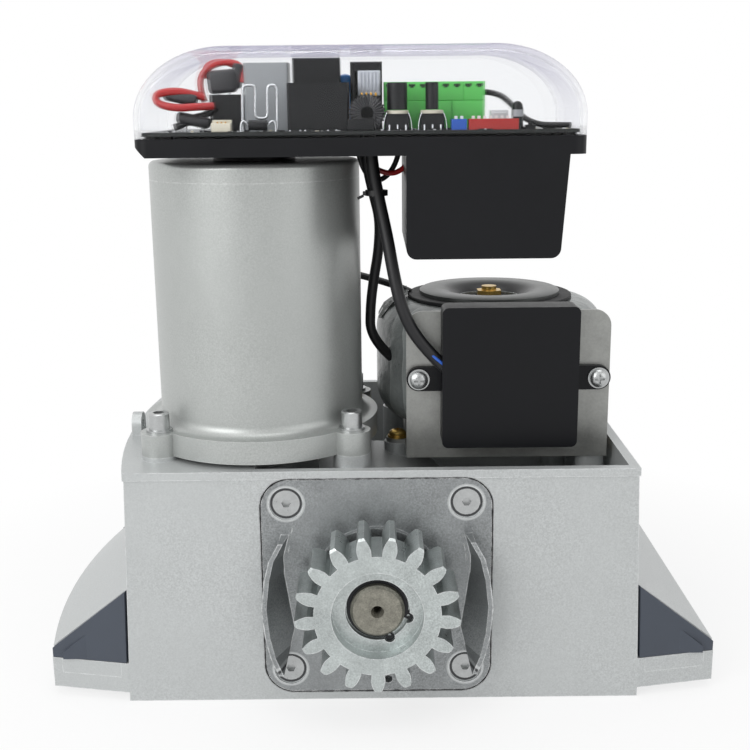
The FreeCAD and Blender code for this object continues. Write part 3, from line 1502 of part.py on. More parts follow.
outline(thread, [
    (worm_root_radius - s.thread_bite, thread_start - thread_root_half),
    (worm_tip_radius, thread_start - thread_tip_half),
    (worm_tip_radius, thread_start + thread_tip_half),
    (worm_root_radius - s.thread_bite, thread_start + thread_root_half),
])
helix = worm_blank.newObject("PartDesign::AdditiveHelix", "worm_helix")
helix.Profile = thread
helix.ReferenceAxis = (thread, ["V_Axis"])
helix.Mode = "pitch-turns-angle"
bind(helix, "Pitch", worm_lead)
bind(helix, "Turns", s.worm_turns)
worm_shaft = node(worm_blank, "worm_shaft")

bore_radius = s.motor_radius - s.motor_wall
magnet_inner = bore_radius - s.magnet_thickness
armature_radius = magnet_inner - s.air_gap
slot_floor = armature_radius - s.armature_slot_depth
armature = body("armature_stack", (motor_across, s.motor_back, armature_low))
stack = sketch(armature, "stack")
disc(stack, 0, 0, armature_radius)
disc(stack, 0, 0, core_seat)
pad(armature, stack, armature_high - armature_low)
slot = sketch(armature, "armature_slot", "XY_Plane", armature_high - armature_low)
slot_half = s.armature_slot_width / 2
outline(slot, [
    (slot_floor, -s.armature_slot_floor_half),
    (armature_radius - s.armature_slot_lip, -slot_half),
    (armature_radius - s.armature_slot_lip, -s.armature_slot_mouth_half),
    (armature_radius + s.seal_lip, -s.armature_slot_mouth_half),
    (armature_radius + s.seal_lip, s.armature_slot_mouth_half),
    (armature_radius - s.armature_slot_lip, s.armature_slot_mouth_half),
    (armature_radius - s.armature_slot_lip, slot_half),
    (slot_floor, s.armature_slot_floor_half),
])
patterned(armature, pocket(armature, slot, armature_high - armature_low), s.armature_slots)
armature_core = node(armature, "armature_core")

winding_outer = armature_radius - s.winding_inset
overhangs = [
    turned("winding_" + tag, [
        (core_seat + s.seal_lip, 0),
        (winding_outer - s.winding_inset, 0),
        (winding_outer, s.winding_inset),
        (winding_outer, s.winding_overhang - s.winding_inset),
        (winding_outer - s.winding_inset, s.winding_overhang),
        (core_seat + s.seal_lip, s.winding_overhang),
    ], (motor_across, s.motor_back, height))
    for tag, height in (("low", armature_low - s.winding_overhang), ("high", armature_high))
]
bars = []
for number in range(int(float(s.armature_slots))):
    angle = 360 / float(s.armature_slots) * number
    reach = slot_floor + s.seal_lip / 2
    bar = box("winding_bar_" + str(number + 1), s.winding_bar_depth, s.winding_bar_width,
              armature_high - armature_low,
              (motor_across + reach * cosine(angle) + s.winding_bar_width / 2 * sine(angle),
               s.motor_back + reach * sine(angle) - s.winding_bar_width / 2 * cosine(angle), armature_low),
              FreeCAD.Rotation(V(0, 0, 1), angle))
    bars.append(bar)
armature_windings = node(fuse("windings_wound", *overhangs, *bars), "armature_windings")
commutator = node(turned("commutator_drum", [
    (core_seat, 0), (s.commutator_radius, 0), (s.commutator_radius, s.commutator_face),
    (s.commutator_radius + s.seal_lip, s.commutator_face),
    (s.commutator_radius + s.seal_lip, s.commutator_height),
    (core_seat, s.commutator_height),
], (motor_across, s.motor_back, commutator_high), UPSIDE_DOWN), "commutator")


# Motor: flanged housing, end cap, magnets, brushes and bearings

flange_thick = motor_flange_high - motor_flange_low
motor_floor_top = motor_flange_high + s.motor_floor - motor_flange_low
tube_height = motor_seam - motor_flange_low
relief = s.mid_bearing_inner + s.bolt_radius + s.cover_gap * 2
motor_casting = turned("motor_casting", [
    (relief, -s.motor_spigot),
    (s.tower_bore_radius - s.spigot_clearance, -s.motor_spigot),
    (s.tower_bore_radius - s.spigot_clearance, 0),
    (s.motor_flange_radius, 0),
    (s.motor_flange_radius, flange_thick),
    (s.motor_radius + s.motor_root_fillet, flange_thick, -s.motor_root_fillet),
    (s.motor_radius, flange_thick + s.motor_root_fillet),
    (s.motor_radius, tube_height),
    (bore_radius, tube_height),
    (bore_radius, motor_floor_top),
    (s.mid_bearing_radius, motor_floor_top),
    (s.mid_bearing_radius, s.cover_gap),
    (relief, s.cover_gap),
], (motor_across, s.motor_back, motor_flange_low))
ears = sketch(motor_casting, "motor_ears")
for across in (-1, 1):
    for deep in (-1, 1):
        disc(ears, across * s.motor_bolt_across, deep * s.motor_bolt_deep, s.ear_radius)
pad(motor_casting, ears, flange_thick)
ear_holes = sketch(motor_casting, "ear_holes", "XY_Plane", flange_thick)
for across in (-1, 1):
    for deep in (-1, 1):
        disc(ear_holes, across * s.motor_bolt_across, deep * s.motor_bolt_deep,
             s.bolt_radius + s.screw_clearance)
pocket(motor_casting, ear_holes, flange_thick)
ear_faces = sketch(motor_casting, "ear_faces", "XY_Plane", flange_thick + s.motor_root_fillet)
for across in (-1, 1):
    for deep in (-1, 1):
        disc(ear_faces, across * s.motor_bolt_across, deep * s.motor_bolt_deep,
             s.washer_radius + s.screw_clearance)
pocket(motor_casting, ear_faces, s.motor_root_fillet)
motor_housing = node(motor_casting, "motor_housing")

cap_height = motor_top - motor_seam
cap_boss = s.top_bearing_radius + s.motor_wall
motor_end_cap = node(turned("end_cap_casting", [
    (0, cap_height),
    (0, top_bearing_high - motor_seam),
    (s.top_bearing_radius, top_bearing_high - motor_seam),
    (s.top_bearing_radius, top_bearing_low - motor_seam),
    (cap_boss, top_bearing_low - motor_seam),
    (cap_boss, cap_height - s.motor_wall),
    (bore_radius - s.motor_wall, cap_height - s.motor_wall),
    (bore_radius - s.motor_wall, -s.motor_wall),
    (bore_radius - s.spigot_clearance, -s.motor_wall),
    (bore_radius - s.spigot_clearance, 0),
    (s.motor_radius, 0),
    (s.motor_radius, cap_height - s.motor_cap_edge, s.motor_cap_edge),
    (s.motor_radius - s.motor_cap_edge, cap_height),
], (motor_across, s.motor_back, motor_seam)), "motor_end_cap")

magnet_ring = body("magnet_ring", (motor_across, s.motor_back, magnet_low))
magnet_plan = sketch(magnet_ring, "magnet_plan")
magnet_half = 180 / s.magnet_count - s.magnet_gap_angle / 2
outline(magnet_plan, [
    (bore_radius * cosine(magnet_half), -bore_radius * sine(magnet_half), bore_radius),
    (bore_radius * cosine(magnet_half), bore_radius * sine(magnet_half)),
    (magnet_inner * cosine(magnet_half), magnet_inner * sine(magnet_half), -magnet_inner),
    (magnet_inner * cosine(magnet_half), -magnet_inner * sine(magnet_half)),
])
pad(magnet_ring, magnet_plan, s.magnet_height)
motor_magnets = node(copies("motor_magnet", magnet_ring, [
    ((motor_across, s.motor_back, magnet_low),
     FreeCAD.Rotation(V(0, 0, 1), 360 / float(s.magnet_count) * (number + 0.5)))
    for number in range(int(float(s.magnet_count)))
]), "motor_magnets")

holder_low = commutator_low + s.commutator_gap / 3
holder_outer = bore_radius - s.magnet_thickness / 2
holder_inner = holder_outer - s.holder_ring_width * 2
brush_low = holder_low + (s.holder_height - s.brush_height) / 2
brush_start = s.commutator_radius + s.brush_gap
holder_ring = cut(
    "holder_ring",
    cylinder("holder_blank", holder_outer, s.holder_height, (motor_across, s.motor_back, holder_low)),
    cylinder("holder_bore", holder_inner, s.holder_height, (motor_across, s.motor_back, holder_low)))
guide_wall = s.brush_width / 4
guide_start = s.commutator_radius + s.brush_width / 2
brush_guides = [
    box("brush_guide_" + tag, holder_outer - s.seal_lip - guide_start, s.brush_width + guide_wall * 2,
        s.brush_height + guide_wall * 2,
        (left, s.motor_back - s.brush_width / 2 - guide_wall, brush_low - guide_wall))
    for tag, left in (("left", motor_across - holder_outer + s.seal_lip),
                      ("right", motor_across + guide_start))
]
slide_gap = s.screw_clearance
brush_ways = [
    box("brush_way_" + tag, s.brush_length + s.brush_width, s.brush_width + slide_gap,
        s.brush_height + slide_gap,
        (left, s.motor_back - s.brush_width / 2 - slide_gap / 2, brush_low - slide_gap / 2))
    for tag, left in (("left", motor_across - brush_start - s.brush_length - s.brush_width),
                      ("right", motor_across + brush_start))
]
brush_holder = node(cut("brush_holder_moulding", fuse("holder_fused", holder_ring, *brush_guides),
                        *brush_ways), "brush_holder")
motor_brushes = node(group(
    "brush_pair",
    box("brush_left", s.brush_length, s.brush_width, s.brush_height,
        (motor_across - brush_start - s.brush_length, s.motor_back - s.brush_width / 2, brush_low)),
    box("brush_right", s.brush_length, s.brush_width, s.brush_height,
        (motor_across + brush_start, s.motor_back - s.brush_width / 2, brush_low))), "motor_brushes")

bearing_kinds = [
    ball_bearing("low_bearing", s.low_bearing_radius, s.low_bearing_inner, s.low_bearing_width),
    ball_bearing("mid_bearing", s.mid_bearing_radius, s.mid_bearing_inner, s.mid_bearing_width),
    ball_bearing("top_bearing", s.top_bearing_radius, s.top_bearing_inner, s.top_bearing_width),
]
for kind, height in zip(bearing_kinds, (s.low_bearing_height, mid_bearing_low, top_bearing_low)):
    place(kind, (motor_across, s.motor_back, height))
rotor_bearings = node(group("rotor_bearing_set", *bearing_kinds), "rotor_bearings")

cap_screw = turned("cap_screw", [
    (0, -s.bolt_length), (s.bolt_radius, -s.bolt_length), (s.bolt_radius, 0),
    (s.bolt_head_radius, 0), (s.bolt_head_radius, s.bolt_head_height - s.pinion_chamfer / 2),
    (s.bolt_head_radius - s.pinion_chamfer / 2, s.bolt_head_height), (0, s.bolt_head_height),
])
cap_socket = sketch(cap_screw, "cap_socket", "XY_Plane", s.bolt_head_height)
outline(cap_socket, hexagon(s.bolt_head_radius))
pocket(cap_screw, cap_socket, s.bolt_head_height / 2)
washer = turned("plain_washer", [
    (s.bolt_radius + s.screw_clearance, 0), (s.washer_radius, 0), (s.washer_radius, s.washer_thickness),
    (s.bolt_radius + s.screw_clearance, s.washer_thickness),
])
bolt_spots = [((across, deep, motor_flange_high + s.washer_thickness), None) for across,
              deep in motor_bolt_places]
washer_spots = [((across, deep, motor_flange_high), None) for across, deep in motor_bolt_places]
motor_bolts = node(group("motor_bolt_set", copies("motor_bolt", cap_screw, bolt_spots),
                         copies("motor_washer", washer, washer_spots)), "motor_bolts")


# Manual release on the back: a hinged lever with a cam, its lock barrel and the release rod

lever = body("lever_casting", (s.pinion_across, hinge_y, lever_low))
hub = sketch(lever, "lever_hub")
disc(hub, -s.lever_cam_offset, 0, s.lever_hub_radius)
pad(lever, hub, s.lever_height)
arm = sketch(lever, "lever_arm")
arm_half = s.lever_thickness / 2
outline(arm, [
    (-s.lever_cam_offset, -arm_half),
    (s.lever_length - arm_half, -arm_half, arm_half),
    (s.lever_length, 0, arm_half),
    (s.lever_length - arm_half, arm_half),
    (-s.lever_cam_offset, arm_half),
])
pad(lever, arm, s.lever_height)
lever_pin = sketch(lever, "lever_pin", "XY_Plane", -s.lever_gap - s.lever_lug_thickness)
disc(lever_pin, 0, 0, s.lever_pin_radius)
pad(lever, lever_pin, s.lever_height + 2 * (s.lever_gap + s.lever_lug_thickness))
barrel_way = sketch(lever, "barrel_way", "XZ_Plane", arm_half)
disc(barrel_way, s.lock_across, s.lever_height / 2, s.lock_radius + s.running_clearance)
pocket(lever, barrel_way, s.lever_thickness)
grip = sketch(lever, "lever_grip", "XZ_Plane", -arm_half)
outline(grip, [
    (s.lever_pocket_start, s.lever_pocket_margin),
    (s.lock_across - s.lever_pocket_end, s.lever_pocket_margin),
    (s.lock_across - s.lever_pocket_end, s.lever_height - s.lever_pocket_margin),
    (s.lever_pocket_start, s.lever_height - s.lever_pocket_margin),
])
pocket(lever, grip, s.lever_thickness / 4, backwards=True)
release_lever = node(lever, "release_lever")

lock = body("lock_barrel", (s.pinion_across + s.lock_across, hinge_y - arm_half, s.pinion_axis_height),
            TO_BACK)
barrel = sketch(lock, "barrel_round")
disc(barrel, 0, 0, s.lock_radius)
pad(lock, barrel, s.lever_thickness + s.lock_stand)
key_slot = sketch(lock, "key_slot", "XY_Plane", s.lever_thickness + s.lock_stand)
outline(key_slot, [
    (-s.key_slot_width / 2, -s.key_slot_length / 2), (s.key_slot_width / 2, -s.key_slot_length / 2),
    (s.key_slot_width / 2, s.key_slot_length / 2), (-s.key_slot_width / 2, s.key_slot_length / 2),
])
pocket(lock, key_slot, s.lever_thickness / 2)
release_lock = node(lock, "release_lock")

rod_end_y = hinge_y - s.lever_hub_radius - s.rod_cam_gap
rod_start_y = shaft_end_y - s.rod_reach
release_rod = node(turned("rod_turned", [
    (0, 0), (s.rod_radius - s.seal_lip, 0), (s.rod_radius, s.seal_lip),
    (s.rod_radius, rod_end_y - rod_start_y - s.seal_lip / 2),
    (s.rod_radius - s.seal_lip / 2, rod_end_y - rod_start_y),
    (0, rod_end_y - rod_start_y),
], (s.pinion_across, rod_start_y, s.pinion_axis_height), TO_BACK), "release_rod")


# Toroidal transformer on its bent steel bracket

toroid_high = toroid_low + s.toroid_height
toroid_place = (s.toroid_across, s.toroid_back, toroid_low)
edge = s.toroid_edge
toroid_transformer = node(turned("toroid_wound", [
    (s.toroid_bore_radius, 0),
    (s.toroid_radius - edge, 0, edge),
    (s.toroid_radius, edge),
    (s.toroid_radius, s.toroid_height - edge, edge),
    (s.toroid_radius - edge, s.toroid_height),
    (s.toroid_bore_radius, s.toroid_height),
], toroid_place), "toroid_transformer")
pad_low = turned("toroid_pad_low", [
    (s.clamp_bolt_radius + s.screw_clearance, 0), (s.pad_radius, 0),
    (s.pad_radius, toroid_low - shelf_top),
    (s.clamp_bolt_radius + s.screw_clearance, toroid_low - shelf_top),
], (s.toroid_across, s.toroid_back, shelf_top))
pad_high = turned("toroid_pad_high", [
    (s.clamp_bolt_radius + s.screw_clearance, 0), (s.pad_radius, 0), (s.pad_radius, s.pad_thickness),
    (s.clamp_bolt_radius + s.screw_clearance, s.pad_thickness),
], (s.toroid_across, s.toroid_back, toroid_high))
toroid_pads = node(group("toroid_pad_pair", pad_low, pad_high), "toroid_pads")
dish_low = toroid_high + s.pad_thickness
clamp_washer = node(turned("dished_washer", [
    (s.clamp_bolt_radius + s.screw_clearance, 0),
    (s.dish_inner_radius, 0),
    (s.dish_inner_radius + s.dish_depth, s.dish_depth),
    (s.dish_radius - s.dish_depth, s.dish_depth),
    (s.dish_radius, 0),
    (s.dish_radius, s.dish_thickness),
    (s.dish_radius - s.dish_depth + s.dish_thickness / 2, s.dish_depth + s.dish_thickness),
    (s.dish_inner_radius + s.dish_depth - s.dish_thickness / 2, s.dish_depth + s.dish_thickness),
    (s.dish_inner_radius - s.dish_thickness / 2, s.dish_thickness),
    (s.clamp_bolt_radius + s.screw_clearance, s.dish_thickness),
], (s.toroid_across, s.toroid_back, dish_low)), "clamp_washer")
nut_low = dish_low + s.dish_thickness
clamp_low = bracket_low - s.clamp_nut_height
clamp_core = turned("clamp_core", [
    (0, 0), (s.clamp_head_radius, 0), (s.clamp_head_radius, s.clamp_nut_height),
    (s.clamp_bolt_radius, s.clamp_nut_height),
    (s.clamp_bolt_radius, nut_low - clamp_low),
    (s.clamp_flange_radius, nut_low - clamp_low),
    (s.clamp_flange_radius, nut_low - clamp_low + s.clamp_flange_height),
    (s.clamp_bolt_radius, nut_low - clamp_low + s.clamp_flange_height),
    (s.clamp_bolt_radius, nut_low - clamp_low + s.clamp_stud_rise),
    (0, nut_low - clamp_low + s.clamp_stud_rise),
], (s.toroid_across, s.toroid_back, clamp_low))
clamp_hex = sketch(clamp_core, "clamp_hex", "XY_Plane", nut_low - clamp_low + s.clamp_flange_height / 2)
outline(clamp_hex, hexagon(s.clamp_nut_flat))
pad(clamp_core, clamp_hex, s.clamp_nut_height)
clamp_bolt = node(clamp_core, "clamp_bolt")

bracket = body("bracket_bent")
face = sketch(bracket, "bracket_face", "XZ_Plane", -s.bracket_front - s.bracket_sheet)
outline(face, [
    (s.bracket_left, bracket_low),
    (s.bracket_right, bracket_low),
    (s.bracket_right, bracket_high - s.bracket_corner, s.bracket_corner),
    (s.bracket_right - s.bracket_corner, bracket_high),
    (s.bracket_left + s.bracket_corner, bracket_high, s.bracket_corner),
    (s.bracket_left, bracket_high - s.bracket_corner),
])
pad(bracket, face, s.bracket_sheet)
shelf = sketch(bracket, "bracket_shelf", "XY_Plane", bracket_low)
tab_left = s.tab_screw_across - s.bracket_tab / 2
tab_half = s.bracket_tab / 2
outline(shelf, [
    (s.bracket_left, s.bracket_front),
    (s.bracket_right, s.bracket_front),
    (s.bracket_right, s.bracket_back),
    (s.bracket_left, s.bracket_back),
    (s.bracket_left, s.tab_screw_back + tab_half),
] + half_round(
    (s.tab_screw_across, s.tab_screw_back + tab_half),
    (tab_left, s.tab_screw_back),
    (s.tab_screw_across, s.tab_screw_back - tab_half), tab_half,
) + [
    (s.bracket_left, s.tab_screw_back - tab_half),
    (s.bracket_left, s.tab_screw_front + tab_half),
] + half_round(
    (s.tab_screw_across, s.tab_screw_front + tab_half),
    (tab_left, s.tab_screw_front),
    (s.tab_screw_across, s.tab_screw_front - tab_half), tab_half,
) + [
    (s.bracket_left, s.tab_screw_front - tab_half),
])
pad(bracket, shelf, s.bracket_sheet)
shelf_holes = sketch(bracket, "shelf_holes", "XY_Plane", shelf_top)
for across, deep in tab_screw_places:
    disc(shelf_holes, across, deep, s.small_screw_radius + s.screw_clearance)
disc(shelf_holes, s.toroid_across, s.toroid_back, s.clamp_bolt_radius + s.screw_clearance)
pocket(bracket, shelf_holes, s.bracket_sheet)
box_screw_places = [s.bracket_left + s.box_screw_edge, s.bracket_right - s.box_screw_edge]
face_holes = sketch(bracket, "face_holes", "XZ_Plane", -s.bracket_front)
for across in box_screw_places:
    disc(face_holes, across, box_ear_level, s.small_screw_radius + s.screw_clearance)
pocket(bracket, face_holes, s.bracket_sheet)
transformer_bracket = node(bracket, "transformer_bracket")

pan_screw = turned("pan_screw", [
    (0, -s.small_screw_length),
    (s.small_screw_radius, -s.small_screw_length),
    (s.small_screw_radius, 0),
    (s.small_washer_radius, 0),
    (s.small_washer_radius, s.small_washer_thickness),
    (s.small_head_radius, s.small_washer_thickness),
    (s.small_head_radius, s.small_washer_thickness + s.small_head_height / 2, s.small_head_radius),
    (s.small_head_flat, s.small_washer_thickness + s.small_head_height),
    (0, s.small_washer_thickness + s.small_head_height),
])
cross = sketch(pan_screw, "screw_cross", "XY_Plane", s.small_washer_thickness + s.small_head_height)
cross_half = s.cross_slot_half
cross_reach = s.cross_slot_reach
outline(cross, [
    (cross_half, -cross_reach), (cross_half, -cross_half), (cross_reach, -cross_half),
    (cross_reach, cross_half),
    (cross_half, cross_half), (cross_half, cross_reach), (-cross_half, cross_reach),
    (-cross_half, cross_half),
    (-cross_reach, cross_half), (-cross_reach, -cross_half), (-cross_half, -cross_half),
    (-cross_half, -cross_reach),
])
pocket(pan_screw, cross, s.cross_slot_depth)
bracket_screws = node(copies("bracket_screw", pan_screw, [
    ((across, deep, shelf_top), None) for across, deep in tab_screw_places
]), "bracket_screws")

junction = body("junction_moulding")
box_body = sketch(junction, "box_body", "XZ_Plane", -s.bracket_front)
outline(box_body, rounded(s.box_left, box_low, s.box_right, box_high, s.box_corner))
pad(junction, box_body, s.box_depth)
box_ears = sketch(junction, "box_ears", "XZ_Plane", -s.bracket_front)
ear_half = s.box_ear_height / 2
outline(box_ears, half_round(
    (box_screw_places[1], box_ear_level - ear_half),
    (box_screw_places[1] + ear_half, box_ear_level),
    (box_screw_places[1], box_ear_level + ear_half), ear_half,
) + half_round(
    (box_screw_places[0], box_ear_level + ear_half),
    (box_screw_places[0] - ear_half, box_ear_level),
    (box_screw_places[0], box_ear_level - ear_half), ear_half,
))
pad(junction, box_ears, s.box_ear_thickness)
box_holes = sketch(junction, "box_holes", "XZ_Plane", -s.bracket_front + s.box_ear_thickness)
for across in box_screw_places:
    disc(box_holes, across, box_ear_level, s.small_screw_radius + s.screw_clearance)
pocket(junction, box_holes, s.box_ear_thickness)
junction_box = node(junction, "junction_box")
junction_box_screws = node(copies("junction_box_screw", pan_screw, [
    ((across, s.bracket_front - s.box_ear_thickness, box_ear_level),
     TO_FRONT) for across in box_screw_places
]), "junction_box_screws")


# Control unit: tray, clear cover, board and what stands on it

tray_back = s.tray_front + s.tray_depth
tray = body("tray_moulding")
well_top_z = tray_low + s.tray_floor / 2


def well_profile(drawing, inset, top):
    """The well seen from the front, with a drafted right side and a rounded bottom."""
    left = s.well_left + inset
    right = s.well_right - inset
    foot_right = right - s.well_draft
    low = well_low + inset
    edge = s.well_edge - inset
    return outline(drawing, [
        (left, top),
        (left, low + edge, edge),
        (left + edge, low),
        (foot_right - edge, low, edge),
        (foot_right, low + edge),
        (right, top),
    ])


well = well_profile(sketch(tray, "well_block", "XZ_Plane", -s.tray_front), as_size(0), well_top_z)
pad(tray, well, s.well_depth, backwards=True)
rim_outline = sketch(tray, "tray_outline", "XY_Plane", tray_low)
outline(rim_outline, rounded(s.tray_left, s.tray_front, s.tray_right, tray_back, s.tray_corner))
pad(tray, rim_outline, tray_high - tray_low)
under_cut = sketch(tray, "tray_end_chamfer", "XZ_Plane", -tray_back)
outline(under_cut, [
    (s.tray_left, tray_low), (s.tray_left + s.tray_chamfer, tray_low),
    (s.tray_left, tray_low + s.tray_chamfer),
])
pocket(tray, under_cut, s.tray_depth, backwards=True)
foot = sketch(tray, "tray_foot", "XY_Plane", motor_top)
disc(foot, motor_across, s.motor_back, s.tray_foot_radius)
pad(tray, foot, tray_low - motor_top + s.tray_floor / 2)
inside = sketch(tray, "tray_inside", "XY_Plane", tray_high)
outline(inside, rounded(s.tray_left + s.tray_wall, s.tray_front + s.tray_wall, s.tray_right - s.tray_wall,
                        tray_back - s.tray_wall, s.tray_corner / 2))
pocket(tray, inside, tray_high - tray_low - s.tray_floor)
well_inside = well_profile(sketch(tray, "well_inside", "XZ_Plane", -(s.tray_front + s.tray_wall)),
                           s.tray_wall, tray_high)
pocket(tray, well_inside, s.well_depth - s.tray_wall * 2)
cable_hole = sketch(tray, "cable_hole", "XY_Plane", tray_high)
disc(cable_hole, s.cable_hole_across, s.cable_hole_back, s.cable_hole_radius)
pocket(tray, cable_hole, tray_high - tray_low)
stand = sketch(tray, "board_posts", "XY_Plane", tray_low + s.tray_floor / 2)
post_left = s.tray_left + s.cover_post_inset
post_right = s.tray_right - s.cover_post_inset
post_front = s.tray_front + s.cover_post_inset
post_back = tray_back - s.cover_post_inset
for across in (post_left, post_right):
    for deep in (post_front, post_back):
        disc(stand, across, deep, s.board_post_radius)
pad(tray, stand, board_low - tray_low - s.tray_floor / 2)
control_tray = node(tray, "control_tray")


def dome_solid(inset):
    """The clear cover's outer or inner form: flat on top, with elliptical ends."""
    left = float(s.tray_left + inset)
    right = float(s.tray_right - inset)
    front = float(s.tray_front + inset)
    back = float(tray_back - inset)
    low = float(tray_high)
    high = float(dome_high - inset)
    reach = float(s.dome_end_reach - inset)
    shoulder = float(dome_high - s.dome_end_drop)

    def quarter(middle, start):
        centre = V(middle, 0, shoulder)
        ellipse = Part.Ellipse(centre + V(reach, 0, 0), centre + V(0, 0, high - shoulder), centre)
        return Part.ArcOfEllipse(ellipse, start, start + math.pi / 2)

    right_end = quarter(right - reach, 0)
    left_end = quarter(left + reach, math.pi / 2)
    corners = [left_end.EndPoint, V(left, 0, low), V(right, 0, low), right_end.StartPoint]
    edges = [Part.LineSegment(a, b) for a, b in zip(corners, corners[1:])]
    edges += [right_end, Part.LineSegment(right_end.EndPoint, left_end.StartPoint), left_end]
    face = Part.Face(Part.Wire(Part.__sortEdges__([edge.toShape() for edge in edges])))
    face.translate(V(0, front, 0))
    solid = face.extrude(V(0, back - front, 0))
    soft = []
    for edge in solid.Edges:
        bounds = edge.BoundBox
        if bounds.YLength < 0.001 and bounds.ZMin > shoulder - 0.001:
            soft.append(edge)
    return solid.makeFillet(float(s.dome_edge - inset), soft)


dome = doc.addObject("Part::Feature", "dome_moulding")
dome.Shape = dome_solid(as_size(0)).cut(dome_solid(s.dome_wall))
clear_cover = node(dome, "clear_cover")

board_left = s.tray_left + s.board_margin
board_front = s.tray_front + s.board_margin
board_length = s.tray_right - s.board_margin - board_left
board_width = s.tray_depth - s.board_margin - s.board_back_margin
circuit_board = node(box("board_laminate", board_length, board_width, s.board_thickness,
                         (board_left, board_front, board_low)), "circuit_board")


def moulded(name, left, front, length, width, height, edge, low=board_top):
    """A component body with rounded upright corners."""
    owner = body(name, (left, front, low))
    outline(sketch(owner, name + "_plan"), rounded(as_size(0), as_size(0), length, width, as_size(edge)))
    pad(owner, owner.Group[-1], height)
    return owner


relays = node(group(
    "relay_set",
    moulded("small_relay", s.small_relay_left, s.relay_row, s.small_relay_length, s.small_relay_width,
            s.small_relay_height, s.relay_edge),
    moulded("grey_relay", s.grey_relay_left, s.relay_row, s.grey_relay_length, s.grey_relay_width,
            s.grey_relay_height, s.relay_edge),
    moulded("tall_relay", s.tall_relay_left, s.relay_row, s.tall_relay_length, s.tall_relay_width,
            s.tall_relay_height, s.relay_edge),
    moulded("low_relay", s.low_relay_left, s.relay_row - s.low_relay_width - s.relay_edge,
            s.low_relay_length,
            s.low_relay_width, s.low_relay_height, s.relay_edge)), "relays")

jack = moulded("jack_moulding", s.jack_left, s.jack_row, s.jack_length, s.jack_width, s.jack_height,
               s.relay_edge)
jack_port = sketch(jack, "jack_port", "XZ_Plane")
port_wall = s.relay_edge * 2
outline(jack_port, [
    (port_wall, s.jack_low), (s.jack_length - port_wall, s.jack_low),
    (s.jack_length - port_wall, s.jack_height - port_wall * 2), (port_wall, s.jack_height - port_wall * 2),
])
pocket(jack, jack_port, s.jack_width - port_wall * 2)
phone_jack = node(jack, "phone_jack")

inductor = node(turned("inductor_wound", [
    (s.coil_bore_radius, s.relay_edge), (s.coil_bore_radius + s.relay_edge, 0),
    (s.coil_radius - s.relay_edge, 0), (s.coil_radius, s.relay_edge),
    (s.coil_radius, s.coil_width - s.relay_edge), (s.coil_radius - s.relay_edge, s.coil_width),
    (s.coil_bore_radius + s.relay_edge, s.coil_width), (s.coil_bore_radius, s.coil_width - s.relay_edge),
], (s.coil_across, s.coil_row + s.coil_width, board_top + s.coil_radius), TO_FRONT), "inductor")

strip = moulded("terminal_moulding", s.terminal_left, s.terminal_row, s.terminal_length, s.terminal_width,
                s.terminal_height, s.relay_edge / 2)
way = s.terminal_length / s.terminal_ways
ports = sketch(strip, "terminal_ports", "XZ_Plane", -s.terminal_width)
screws = sketch(strip, "terminal_screws", "XY_Plane", s.terminal_height)
for number in range(int(float(s.terminal_ways))):
    middle_x = way * (number + 0.5)
    outline(ports, [
        (middle_x - s.terminal_port_width / 2, s.relay_edge * 2),
        (middle_x + s.terminal_port_width / 2, s.relay_edge * 2),
        (middle_x + s.terminal_port_width / 2, s.relay_edge * 2 + s.terminal_port_height),
        (middle_x - s.terminal_port_width / 2, s.relay_edge * 2 + s.terminal_port_height),
    ])
    disc(screws, middle_x, s.terminal_width / 2, s.terminal_screw_radius)
pocket(strip, ports, s.terminal_width / 2, backwards=True)
pocket(strip, screws, s.terminal_height / 4)
terminal_block = node(strip, "terminal_block")

ring_low = board_top + s.trimmer_height
trimmer_spots = [s.trimmer_first, s.trimmer_second]
trimmer_parts = []
for tag, across in zip(("first", "second"), trimmer_spots):
    case = moulded("trimmer_case_" + tag, across - s.trimmer_side / 2, s.trimmer_row - s.trimmer_side / 2,
                   s.trimmer_side, s.trimmer_side, s.trimmer_height, s.relay_edge)
    collar = sketch(case, "trimmer_collar_" + tag, "XY_Plane", s.trimmer_height)
    disc(collar, s.trimmer_side / 2, s.trimmer_side / 2, s.trimmer_ring_radius)
    pad(case, collar, s.trimmer_ring_height)
    trimmer_parts.append(case)
trimmer_bases = node(group("trimmer_pair", *trimmer_parts), "trimmer_bases")


def trimmer_knob(name, across, radius):
    """A trimmer's slotted knob."""
    owner = body(name, (across, s.trimmer_row, ring_low + s.trimmer_ring_height + s.knob_gap))
    knob_plan = sketch(owner, name + "_plan")
    disc(knob_plan, 0, 0, radius)
    pad(owner, knob_plan, s.knob_height)
    knob_slot = sketch(owner, name + "_slot", "XY_Plane", s.knob_height)
    half = s.knob_slot_width / 2
    reach = radius + s.seal_lip
    outline(knob_slot, [(-reach, -half), (reach, -half), (reach, half), (-reach, half)])
    pocket(owner, knob_slot, s.knob_slot_depth)
    return node(owner, name)


trimmer_knob_1 = trimmer_knob("trimmer_knob_1", s.trimmer_first, s.knob_radius)
trimmer_knob_2 = trimmer_knob("trimmer_knob_2", s.trimmer_second, s.slim_knob_radius)


